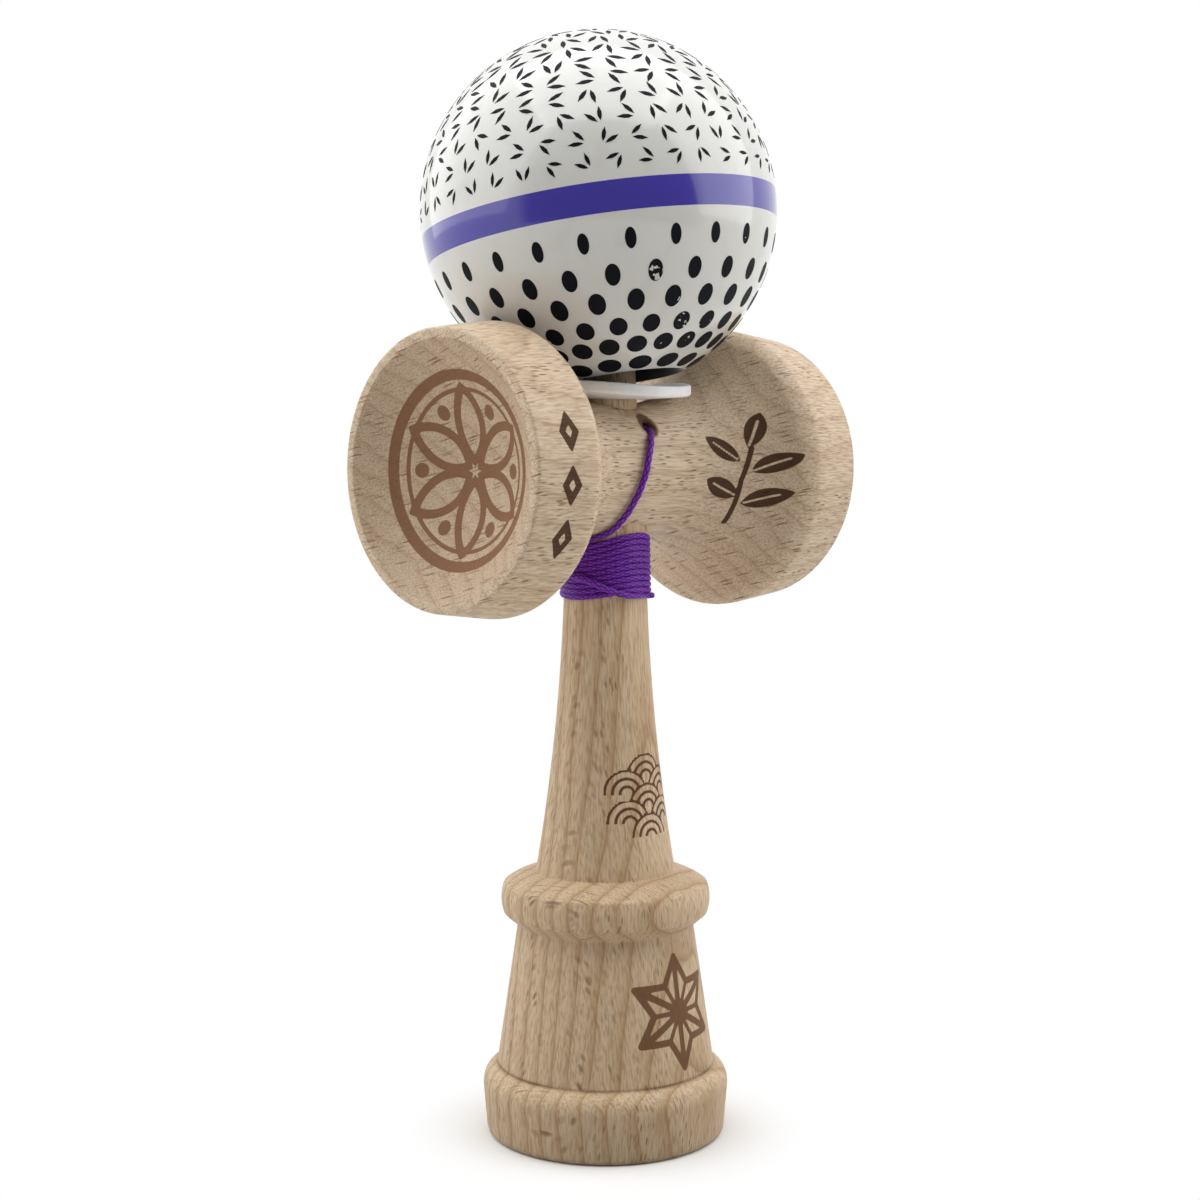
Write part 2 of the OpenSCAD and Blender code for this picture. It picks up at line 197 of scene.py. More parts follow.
tail_rise = [
    [-1, 10.2, 102], [-0.5, 11.8, 107], [-0.3, 12.6, 112], [-0.3, 13.4, 117], [-0.4, 16.6, 123.5],
    [-0.5, 20.6, 130], [-0.6, 24.8, 136.5], [-0.7, 28.6, 143.6], [-0.7, 31, 150.6], [-0.8, 31.8, 157.6],
    [-0.8, 31.1, 164.6], [-0.9, 28.8, 171.2], [-1.1, 25, 177], [-1.3, 20, 181.8], [-1.5, 14.4, 185.3],
    [-1.8, 11.2, 186.5], [-2, 8.8, 187.2], [-2, 7.5, 187.5], [-2, 6.5, 187.45],
]
hole_in, inner_top, inner_low = 29.6, 28.6, 12.1
tail_points = (
    [wind_end, wind_end + last_way]
    + [polar(*p) for p in tail_turn]
    + [np.array(p, float) for p in tail_rise]
    + [ball_centre + s * ball_axis for s in (hole_in, inner_top)]
)
inner_points = [ball_centre + s * ball_axis for s in np.linspace(inner_top, inner_low, 12)]
route = np.array(
    smooth_line(lead_points, 6)[:-1] + turns + smooth_line(tail_points, 6)[:-1] + inner_points
)
print("route of the string has", len(route), "points")

# %% [markdown]
# The braid is eight strands that cross at a slant. On the surface that makes a net of small lozenges, about
# 0.75 mm each way, so the sweep has a ring every fifth of a millimetre. In the winding the turns press on
# each other and on the stem, so there each ring is squeezed flat and to the width that the turns leave it.
# The turns rise in front and behind, less so low down.

# %% String
def even_line(points, spacing):
    lengths = np.r_[0, np.cumsum(np.linalg.norm(np.diff(points, axis=0), axis=1))]
    count = round(lengths[-1] / spacing)
    places = np.linspace(0, lengths[-1], count + 1)
    return np.column_stack([np.interp(places, lengths, points[:, k]) for k in range(3)]), lengths[-1]


def carried_frames(points):
    ways = np.gradient(points, axis=0)
    ways /= np.linalg.norm(ways, axis=1)[:, None]
    side = np.cross(ways[0], [0.3, 0.2, 0.9])
    sides = []
    for way in ways:
        side = side - side.dot(way) * way
        side = side / np.linalg.norm(side)
        sides.append(side)
    sides = np.array(sides)
    return sides, np.cross(ways, sides)


def braided_tube(name, points, diameter, squeeze=None):
    sides, lozenge, lozenges_round = 20, 0.78, 5
    line, length = even_line(points, 0.2)
    across, up = carried_frames(line)
    turn = np.arange(sides) * 2 * math.pi / sides
    along = np.arange(len(line)) * length / (len(line) - 1) * math.pi / lozenge
    round_it = turn * lozenges_round / 2
    braid = np.abs(np.sin(round_it[None] + along[:, None] / 2) * np.sin(round_it[None] - along[:, None] / 2))
    radius = diameter / 2 * (0.84 + 0.2 * np.sqrt(braid))
    offset = radius[..., None] * (
        np.cos(turn)[None, :, None] * across[:, None] + np.sin(turn)[None, :, None] * up[:, None]
    )
    if squeeze is not None:
        offset *= squeeze(line)[:, None]
    rings = line[:, None] + offset
    count = len(line)
    faces = [
        (i * sides + k, i * sides + (k + 1) % sides, (i + 1) * sides + (k + 1) % sides, (i + 1) * sides + k)
        for i in range(count - 1) for k in range(sides)
    ]
    faces += [tuple(range(sides - 1, -1, -1)), tuple((count - 1) * sides + k for k in range(sides))]
    piece = new_piece(name, rings.reshape(-1, 3) * MM, faces)
    set_attribute(piece, "braid", np.sqrt(braid).ravel())
    return piece, line, length


flat_d = 0.76
pressed_low, pressed_high = 91.5, 105.5


def wound(points):
    z = points[:, 2]
    out = np.hypot(points[:, 0], points[:, 1]) - stem_radius(z)
    in_height = np.clip((z - pressed_low) / 0.8, 0, 1) * np.clip((pressed_high - z) / 0.8, 0, 1)
    in_turns = in_height * np.clip(2.5 - 2 * out, 0, 1)
    pressed = np.array([flat_d, flat_d, wind_space]) / string_d
    return 1 - in_turns[:, None] * (1 - pressed)


string, string_line, string_length = braided_tube("string_cord", route, string_d, wound)
print("string is", round(string_length, 1), "mm long, in", len(string.data.polygons), "faces")

# %% [markdown]
# Both ends of the string are held by a knot: one in a chamber in the ken, one under the bead in the ball. A
# knot could be a plain ball, but an overhand knot is a trefoil, which has a short formula.

# %% Knots
def overhand_knot(name, centre, axis, size):
    t = np.linspace(0, 2 * math.pi, 73)
    loop = np.column_stack([
        np.sin(t) + 2 * np.sin(2 * t), np.cos(t) - 2 * np.cos(2 * t), -1.3 * np.sin(3 * t),
    ]) * size / 6
    turn = Vector((0, 0, 1)).rotation_difference(Vector(axis)).to_matrix()
    return braided_tube(name, loop @ np.array(turn).T + centre, size * 0.36)[0]


ken_knot_size, ball_knot_size = 2.6, 2.4
ken_knot_centre = string_hole + (0, 1.2, 0)
ball_knot_centre = ball_centre + 11.0 * ball_axis
ken_knot = overhand_knot("string_knot_in_ken", ken_knot_centre, (0, 1, 0), ken_knot_size)
ball_knot = overhand_knot("string_knot_in_ball", ball_knot_centre, ball_axis, ball_knot_size)
print("knots made:", ken_knot.name, ball_knot.name)

# %% [markdown]
# Turned pieces are made as on a lathe: an outline, and a turn round an axis. Here the outline is sampled
# finely, its corners are eased as sandpaper eases them, and the rows are thinned again, except where a
# burned mark needs a fine mesh. The columns are finer at the front for the same reason.

# %% Lathe
def bow(a, b, sag, steps=24):
    a, b = np.array(a, float), np.array(b, float)
    side = np.array([b[1] - a[1], a[0] - b[0]]) / np.linalg.norm(b - a)
    return [a + t * (b - a) + 4 * sag * t * (1 - t) * side for t in np.linspace(0, 1, steps + 1)]


def quarter_sag(radius):
    return radius * (1 - math.cos(math.pi / 4))


def dish(mouth_r, depth, steps=48):
    sphere_r = (mouth_r**2 + depth**2) / 2 / depth
    reach = math.asin(mouth_r / sphere_r)
    return [
        np.array([sphere_r * math.sin(a), sphere_r * (math.cos(a) - 1) + depth])
        for a in np.linspace(0, reach, steps + 1)
    ]


def eased(outline, spacing=0.15, passes=2, soft=None):
    points = np.array(outline, float)
    keep = np.r_[True, np.linalg.norm(np.diff(points, axis=0), axis=1) > 1e-9]
    points = points[keep]
    fine = [points[0]]
    for a, b in zip(points[:-1], points[1:]):
        steps = max(1, math.ceil(np.linalg.norm(b - a) / spacing))
        fine += [a + (b - a) * k / steps for k in range(1, steps + 1)]
    fine = np.array(fine)
    moves = np.full(len(fine), passes) if soft is None else np.where(soft(fine), 24, passes)
    for k in range(moves.max()):
        between = 0.25 * fine[:-2] + 0.5 * fine[1:-1] + 0.25 * fine[2:]
        fine[1:-1] = np.where((moves[1:-1] > k)[:, None], between, fine[1:-1])
    return fine


def thinned(outline, step_at):
    kept = [outline[0]]
    way = None
    for a, b in zip(outline[1:-1], outline[2:]):
        new_way = (b - a) / np.linalg.norm(b - a)
        bend = 0 if way is None else abs(way[0] * new_way[1] - way[1] * new_way[0])
        if np.linalg.norm(a - kept[-1]) >= step_at(a) or bend > 0.12:
            kept.append(a)
            way = new_way
        elif way is None:
            way = new_way
    return np.array(kept + [outline[-1]])


def columns(front, fine, coarse):
    near = np.linspace(-front, front, round(2 * front / fine) + 1)
    far = np.linspace(front, 360 - front, round((360 - 2 * front) / coarse) + 1)[1:-1]
    return np.radians(np.r_[near, far])


def turned(name, outline, turns_at, matrix):
    count = len(turns_at)
    points, rows = [], []
    for r, z in outline:
        if r < 1e-6:
            rows.append([len(points)])
            points.append((0, 0, z))
            continue
        rows.append(list(range(len(points), len(points) + count)))
        points += [(r * math.cos(a), r * math.sin(a), z) for a in turns_at]
    faces = []
    for low, high in zip(rows[:-1], rows[1:]):
        for k in range(count):
            n = (k + 1) % count
            corners = [low[k % len(low)], low[n % len(low)], high[n % len(high)], high[k % len(high)]]
            faces.append(tuple(dict.fromkeys(corners)))
    spun = np.array(points) @ np.array(matrix.to_3x3()).T + np.array(matrix.translation)
    return new_piece(name, spun * MM, faces)


def cut_away(piece, cutters):
    for cutter in cutters:
        step = piece.modifiers.new("cut", "BOOLEAN")
        step.operation = "DIFFERENCE"
        step.solver = "EXACT"
        step.object = cutter
    depsgraph = bpy.context.evaluated_depsgraph_get()
    cut = bpy.data.meshes.new_from_object(piece.evaluated_get(depsgraph))
    piece.modifiers.clear()
    piece.data = cut
    for cutter in cutters:
        bpy.data.objects.remove(cutter)
    piece.data.set_sharp_from_angle(angle=math.radians(40))


def rod(name, start, end, start_r, end_r, sides=48):
    start, end = Vector(start), Vector(end)
    way = end - start
    matrix = Vector((0, 0, 1)).rotation_difference(way).to_matrix().to_4x4()
    matrix.translation = start
    outline = np.array([[0, 0], [start_r, 0], [end_r, way.length], [0, way.length]])
    return turned(name, outline, math.pi / 2 + np.arange(sides) * 2 * math.pi / sides, matrix)


front_up = Matrix(((0, 1, 0, 0), (-1, 0, 0, 0), (0, 0, 1, 0), (0, 0, 0, 1)))
front_across = Matrix(((0, 0, 1, 0), (-1, 0, 0, 0), (0, -1, 0, 0), (0, 0, 0, 1)))
print("lathe ready")

# %% [markdown]
# The marks are burned into the wood, so they are part of it: brown where the beam scorched it and a hair
# lower than the rest. Each is a flat drawing that falls on the wood from one side. A drawing is a distance
# to its edge in millimetres, worked out at every point of the mesh. Distances blend well between points, so
# the shader finds a crisp edge where they pass through zero, and no picture is needed.

# %% Drawing helpers
def leaf(u, v, centre, length, width, degrees):
    turn = math.radians(degrees)
    x = (u - centre[0]) * math.cos(turn) + (v - centre[1]) * math.sin(turn)
    y = (v - centre[1]) * math.cos(turn) - (u - centre[0]) * math.sin(turn)
    arc_r = (length**2 + width**2) / 4 / width
    shift = arc_r - width / 2
    return np.maximum(np.hypot(x, y - shift), np.hypot(x, y + shift)) - arc_r


def line(u, v, start, end, width):
    way = np.array(end, float) - start
    t = np.clip(((u - start[0]) * way[0] + (v - start[1]) * way[1]) / way.dot(way), 0, 1)
    return np.hypot(u - start[0] - t * way[0], v - start[1] - t * way[1]) - width / 2


def hoop(u, v, centre, radius, width):
    return np.abs(np.hypot(u - centre[0], v - centre[1]) - radius) - width / 2


def lozenge_mark(u, v, centre, half_u, half_v):
    share = np.abs(u - centre[0]) / half_u + np.abs(v - centre[1]) / half_v - 1
    return share * min(half_u, half_v)


def around(count, first=0):
    return [first + 360 / count * k for k in range(count)]


def within(distance, inside):
    return np.where(inside, distance, 9.0)


print("drawing helpers ready")

# %% [markdown]
# Inside the small cup is a compass rosette: six leaves in a ring, with a dot between each two. On the cup's
# outer band are three lozenges, and on the flare of the large cup is a sprig of five leaves.

# %% Marks on the cross piece
sarado_z = 114.4


def cup_rosette(points):
    u, v = points[:, 1], points[:, 2] - sarado_z
    petals = np.min([
        np.abs(leaf(u, v, polar(7.4, a, 0)[:2], 11.6, 5.4, a)) - 0.75 for a in around(6, 30)
    ], axis=0)
    spots = [polar(10.6, a, 0)[:2, None] for a in around(6)]
    dots = np.min([np.hypot(*(np.array([u, v]) - spot)) - 1.25 for spot in spots], axis=0)
    rings = np.minimum(hoop(u, v, (0, 0), 15.2, 1.7), hoop(u, v, (0, 0), 12.9, 0.7))
    mark = np.minimum(np.minimum(petals, dots), rings)
    return within(mark, (points[:, 0] < -28) & (np.hypot(u, v) < 19.5))


def band_lozenges(points):
    u, v = points[:, 0] + 31.8, points[:, 2]
    outer = np.min([lozenge_mark(u, v, (0, z), 1.9, 3.3) for z in (120.6, 112.4, 104.2)], axis=0)
    inner = np.min([lozenge_mark(u, v, (0, z), 0.6, 1.1) for z in (120.6, 112.4, 104.2)], axis=0)
    return within(np.maximum(outer, -inner), points[:, 1] < -15)


def flare_sprig(points):
    u, v = points[:, 0] - 18.6, points[:, 2] - sarado_z
    leaves = [
        (2.3, 6.6, 6.8, 2.5, 66), (-2.9, 3.4, 6.6, 3.0, 140), (4.0, 1.0, 6.4, 3.0, 28),
        (-3.2, -3.2, 6.4, 3.2, 152), (3.2, -5.0, 6.0, 3.2, 20),
    ]
    blades = np.min([leaf(u, v, (x, y), long, wide, turn) for x, y, long, wide, turn in leaves], axis=0)
    ribs = np.min([
        line(u, v, polar(-0.42 * long, turn, 0)[:2] + (x, y), polar(0.26 * long, turn, 0)[:2] + (x, y), 0.35)
        for x, y, long, wide, turn in leaves
    ], axis=0)
    stalk = np.minimum(
        line(u, v, (-0.6, -9.2), (-0.2, -2.0), 0.75), line(u, v, (-0.2, -2.0), (1.4, 3.6), 0.75)
    )
    mark = np.minimum(np.maximum(blades, -ribs), stalk)
    return within(mark, (points[:, 1] < 0) & (points[:, 0] > 8.5) & (points[:, 0] < 26.5))


print("marks for the cross piece ready")

# %% [markdown]
# On the stem are rows of waves, and on the body a six-pointed hemp-leaf star, both old patterns.

# %% Marks on the ken
def stem_waves(points):
    u = np.hypot(points[:, 0], points[:, 1]) * np.arctan2(points[:, 0], -points[:, 1])
    v = points[:, 2]
    wave_r, row_h = 4.2, 2.5
    best = np.full(len(points), 9.0)
    covered = np.zeros(len(points), bool)
    for row in range(5):
        low = 52.5 + row * row_h
        for k in range(-(row % 2), 1):
            centre = (wave_r * (2 * k + row % 2), low)
            away = np.hypot(u - centre[0], v - centre[1])
            inside = (away < wave_r) & (v >= low) & ~covered
            arcs = np.min([np.abs(away - r) for r in (wave_r - 0.25, wave_r - 1.6, wave_r - 2.9)], axis=0)
            best = np.where(inside, np.minimum(best, arcs - 0.26), best)
            covered |= inside
    return within(best, points[:, 1] < 0)


def body_star(points):
    u, v = points[:, 0], points[:, 2] - 23.6
    reach = 9.2
    tips = [polar(reach, a, 0)[:2] for a in around(6, 90)]
    folds = [polar(reach / math.sqrt(3), a, 0)[:2] for a in around(6, 120)]
    strokes = [line(u, v, (0, 0), tip, 1.15) for tip in tips]
    for k in range(6):
        strokes += [
            line(u, v, tips[k], folds[k], 1.15), line(u, v, folds[k], tips[(k + 1) % 6], 1.15),
            line(u, v, (0, 0), folds[k], 0.8),
        ]
    return within(np.min(strokes, axis=0), points[:, 1] < 0)


# Painted shade: an uneven darker line along the groove above the base.
def groove_shade(points):
    ring = np.exp(-((points[:, 2] - 12.1) / 0.26) ** 2) * (np.hypot(points[:, 0], points[:, 1]) > 17.5)
    turn = np.arctan2(points[:, 1], points[:, 0])
    return 0.85 * ring * (0.75 + 0.25 * np.sin(3 * turn + 1.1) * np.cos(7 * turn))


print("marks for the ken ready")

# %% [markdown]
# The ken is one turned spindle: a base with a cup underneath, a tapered body, a flange, a hollowed stem and
# the spike. The spike passes through the cross piece, so nothing of the stem is left out inside it.

# %% Ken
foot_r, base_r, base_h, base_round, base_bulge, base_edge = 20.6, 21.2, 12.0, 3.6, 0.7, 1.2
body_low_r, body_top_r, flange_z = 18.75, 15.15, 36.3
flange_r, flange_bulge, rim_z, rim_top_z, flange_crown = 18.0, 0.45, 38.3, 43.3, 0.4
spike_r, tip_r, tip_z, spike_swell = 5.3, 2.5, 164.5, 0.3
rim_r = flange_r - flange_bulge
ken_outline = (
    dish(17.5, 6.0)
    + bow([foot_r - base_edge, 0], [foot_r, base_edge], quarter_sag(base_edge))
    + bow([base_r, base_h - base_round], [body_low_r, base_h], base_bulge)
    + [np.array([body_top_r, flange_z])]
    + bow([rim_r, rim_z], [rim_r, rim_top_z], flange_bulge)
    + bow([rim_r, rim_top_z], [stem_low_r, stem_z], flange_crown)
    + [np.array([stem_radius(z), z]) for z in np.linspace(stem_z, seat_z, 49)]
    + bow([spike_r, spike_z], [tip_r, tip_z - tip_r], spike_swell)
    + bow([tip_r, tip_z - tip_r], [0, tip_z], quarter_sag(tip_r))
)


def ken_rows(point):
    if 11.4 < point[1] < 12.9 and point[0] > 17.5:
        return 0.14
    if flange_z - 1 < point[1] < stem_z + 1 and point[0] > 11:
        return 0.2
    marked = 50 < point[1] < 70 or 12.6 < point[1] < 34.6
    return 0.28 if marked and point[0] > 8 else 1.4


ken = turned("ken_turned", thinned(eased(ken_outline), ken_rows), columns(62, 0.85, 5), front_up)
cut_away(ken, [
    rod("string_way", string_hole + (0, 0.5, 0), string_hole - (0, 9, 0), 1.2, 1.2),
    rod("knot_chamber", string_hole - (0, 0.05, 0), string_hole + (0, 9, 0), 1.8, 1.8),
])
print("ken has", len(ken.data.polygons), "faces")

# %% [markdown]
# The cross piece is turned about the line through its two cups. Its outline runs from the bottom of the
# large cup over the lip, the band and the flare to the waist, and the same way out to the small cup. The
# ken's tapered bore and the string hole are then drilled.

# %% Cross piece
waist_r, waist_half = 11.4, 7.5
lip_w, lip_edge, shoulder_round = 1.8, 0.6, 2.0


def cup_side(reach, lip_r, shoulder_r, band, depth):
    shoulder = reach - band
    flare_end = (shoulder_r - shoulder_round, shoulder - shoulder_round)
    span, rise = flare_end[1] - waist_half, flare_end[0] - waist_r
    flare_r = (span**2 + rise**2) / 2 / rise
    turn = 2 * math.atan(rise / span)
    hollow = [np.array([r, reach - depth + (depth - z)]) for r, z in dish(lip_r - lip_w, depth)]
    rim = bow([lip_r - lip_edge, reach], [lip_r, reach - lip_edge], -quarter_sag(lip_edge))
    edge = bow(
        [shoulder_r, shoulder + shoulder_round / 2], flare_end, -quarter_sag(shoulder_round) / 2
    )
    flare = [
        np.array([waist_r + flare_r * (1 - math.cos(a)), waist_half + flare_r * math.sin(a)])
        for a in np.linspace(turn, 0, 40)
    ]
    return hollow + rim + edge + flare


large_lip_r, small_lip_r = 23.6, 22.6
large_side = cup_side(39.1, large_lip_r, 24.7, 12.2, 8.5)
small_side = cup_side(38.2, small_lip_r, 23.95, 12.1, 8.0)
sarado_outline = [p * (1, 1) for p in large_side] + [p * (1, -1) for p in reversed(small_side)]


def sarado_rows(point):
    r, x = point
    marked = abs(x) < 7.5 or 10 < x < 25.5 and r < 23 or -35.6 < x < -28 and (r > 21.9 or r < 17.5)
    return 0.15 if abs(x) > 36.8 else 0.3 if marked else 1.2


sarado_place = front_across.copy()
sarado_place.translation = (0, 0, sarado_z)
shoulders = eased(sarado_outline, soft=lambda p: (np.abs(np.abs(p[:, 1]) - 26.5) < 3) & (p[:, 0] > 19.5))
sarado = turned("sarado_turned", thinned(shoulders, sarado_rows), columns(50, 0.75, 1.4), sarado_place)
ken_fit = 0.1
bore_half = waist_r + 1
bore_taper = (stem_top_r - spike_r) / (2 * waist_r)
cut_away(sarado, [
    rod("ken_bore", (0, 0, sarado_z - bore_half), (0, 0, sarado_z + bore_half),
        stem_top_r + bore_taper + ken_fit, spike_r - bore_taper + ken_fit),
    rod("string_way", string_hole, string_hole - (0, waist_r + 1, 0), 0.9, 0.9),
    rod("string_tear", string_hole - (0.2, 7.6, -0.4), string_hole - (0.2, 11, -0.4), 0.9, 2.6, 7),
])
print("cross piece has", len(sarado.data.polygons), "faces")

# %% [markdown]
# A burned line lies a little below the wood round it. The points under a mark are pressed in along their
# normals by a twentieth of a millimetre, which is enough for the edge to catch the light. Three more things
# darken the wood softly: painted shade along the groove above the base, the torn grain round the string
# hole and the bore, and painted shade that leaves the cups' hollows a little darker.

# %% Burn the marks in
def torn_wood_and_hollow_shade(points):
    away = points - string_hole
    from_edge = np.maximum(np.hypot(away[:, 0] + 0.2, away[:, 2] - 0.4) - 1.9, 0)
    hole = 0.92 * np.exp(-from_edge / 0.15) * (points[:, 1] < 0)
    turn = np.arctan2(points[:, 1], points[:, 0])
    splits = np.sin(17 * turn + 2 * np.sin(5 * turn)) * np.sin(29 * turn + 1.3)
    reach = 1.3 + 1.7 * np.sin(6 * turn + 0.8) ** 2
    from_bore = (np.hypot(points[:, 0], points[:, 1]) - spike_r - 0.1) / reach
    rim = np.clip(1 - from_bore, 0, 1) * np.clip(0.5 + 1.1 * splits, 0, 1) * (points[:, 2] > sarado_z + 5)
    # Painted shade: the cups' hollows are made a little darker.
    out = np.hypot(points[:, 1], points[:, 2] - sarado_z)
    cup_r = np.where(points[:, 0] < 0, small_lip_r, large_lip_r) - lip_w
    hollow = (np.abs(points[:, 0]) > 28) & (out < cup_r + 0.05)
    return np.max([hole, 0.75 * rim, 0.2 * hollow], axis=0)


def burn(piece, marks, stain_and_shade):
    points = coordinates(piece) / MM
    distances = np.array([mark(points) for mark, _ in marks])
    edge = np.clip(distances.min(axis=0), -1, 1)
    depth = np.array([deep for _, deep in marks])[distances.argmin(axis=0)]
    set_attribute(piece, "edge", edge)
    # Real stains of torn grain, together with painted shade in the groove and in the cups' hollows.
    stained_and_shaded = stain_and_shade(points)
    set_attribute(piece, "char", np.where(edge < 0.5, depth, np.where(stained_and_shaded > 0.6, 0.7, 0.4)))
    set_attribute(piece, "stain_and_shade", stained_and_shaded)
    normals = np.empty(len(points) * 3)
    piece.data.vertex_normals.foreach_get("vector", normals)
    points -= normals.reshape(-1, 3) * (0.05 * np.clip(0.5 - edge / 0.3, 0, 1))[:, None]
    piece.data.vertices.foreach_set("co", (points * MM).ravel())
    piece.data.update()


burn(ken, [(stem_waves, 0.75), (body_star, 0.45)], groove_shade)
burn(sarado, [(cup_rosette, 0.2), (band_lozenges, 0.85), (flare_sprig, 1.0)], torn_wood_and_hollow_shade)
print("marks burned in")

# %% [markdown]
# The ball is a sphere with a wide hole for the spike and a small one for the string, both on its own axis,
# so the whole section can be turned in one go. It sits a little askew on the spike, as it does in the
# photograph.

# %% Ball
bore_r, mouth_r, bore_past, ball_hole_r = 9.0, 10.65, 18.0, 1.3
ball_side = Vector((0, 0, 1)).cross(Vector(ball_axis)).normalized()
ball_rows = Matrix((ball_side.cross(Vector(ball_axis)) * -1, ball_side * -1, Vector(ball_axis)))
ball_place = ball_rows.transposed().to_4x4()
ball_place.translation = Vector(ball_centre)
mouth_low = math.asin(-math.sqrt(ball_r**2 - mouth_r**2) / ball_r)
hole_top = math.acos(ball_hole_r / ball_r)
ball_skin = [
    np.array([ball_r * math.cos(a), ball_r * math.sin(a)]) for a in np.linspace(hole_top, mouth_low, 97)
]
bevel_z = ball_skin[-1][1] + (mouth_r - bore_r)
ball_outline = (
    ball_skin
    + [np.array([bore_r, bevel_z]), np.array([bore_r, bore_past]), np.array([ball_hole_r, bore_past])]
    + [ball_skin[0]]
)
ball = turned("tama_lacquered", eased(ball_outline, 1.0, 0), columns(90, 2.5, 2.5), ball_place)
ball.data.set_sharp_from_angle(angle=math.radians(40))
print("ball has", len(ball.data.polygons), "faces")

# %% [markdown]
# The washer is a soft white disc on the round waist. It lifts towards the cups and tilts up at the front,
# where the leaning ball leaves it free. It is a flat ring with rounded edges, bent by a formula.

# %% Washer
washer_r, washer_t, washer_bore_r, washer_z = 14.5, 1.9, 5.6, 125.95
washer_tilt, washer_lift_r = math.radians(1.4), 75.0
round_r = 0.45
washer_corners = [
    (washer_bore_r, 0, -1, -1), (washer_r, 0, 1, -1), (washer_r, washer_t, 1, 1),
    (washer_bore_r, washer_t, -1, 1),
]
washer_outline = []
for r, z, out, up in washer_corners:
    start = math.atan2(up, out) - math.pi / 4
    for a in np.linspace(start, start + math.pi / 2, 6):
        washer_outline.append(np.array([
            r - out * round_r + round_r * math.cos(a), z - up * round_r + round_r * math.sin(a)
        ]))
washer_outline.append(washer_outline[0])
washer = turned("washer_soft", eased(washer_outline, 0.8, 0), columns(90, 2.5, 2.5), Matrix.Identity(4))
washer_points = coordinates(washer) / MM
washer_points[:, 2] += (
    washer_z + washer_points[:, 0] ** 2 / 2 / washer_lift_r - washer_points[:, 1] * math.tan(washer_tilt)
)
washer.data.vertices.foreach_set("co", (washer_points * MM).ravel())
washer.data.update()
print("washer reaches", round(float(washer_points[:, 2].max()), 2), "mm")

# %% [markdown]
# A small turned bead keeps the string from slipping out of the ball. It is seen only through the ball's
# bore.

# %% Bead
bead_r, bead_hole_r, bead_at = 3.0, 0.8, 15.196
bead_low = math.asin(-math.sqrt(bead_r**2 - bead_hole_r**2) / bead_r)
bead_outline = [
    np.array([bead_r * math.cos(a), bead_r * math.sin(a)]) for a in np.linspace(-bead_low, bead_low, 25)
]
bead_place = ball_place.copy()
bead_place.translation = Vector(ball_centre + bead_at * ball_axis)
bead = turned("bead_turned", np.array(bead_outline + [bead_outline[0]]), columns(90, 10, 10), bead_place)
bead.data.set_sharp_from_angle(angle=math.radians(40))
print("bead is", 2 * bead_r, "mm across")

# %% [markdown]
# The lower half of the ball is printed with rows of dots, wider towards the mouth, and the upper half with
# pairs of pine needles, an old pattern of short pointed strokes. Both repeat round the ball, so one node
# tree does both: it stands copies of a flat chip in a ring at one latitude, turns each a little, and lays
# their points on the sphere. The chip is a thin plate, so the paint has a real edge.

# %% Node helper and the ring of chips
def add(tree, kind, inputs=None, **settings):
    made = tree.nodes.new(kind)
    for name, value in settings.items():
        setattr(made, name, value)
    for key, value in (inputs or {}).items():
        if isinstance(value, bpy.types.NodeSocket):
            tree.links.new(value, made.inputs[key])
        else:
            made.inputs[key].default_value = value
    return made


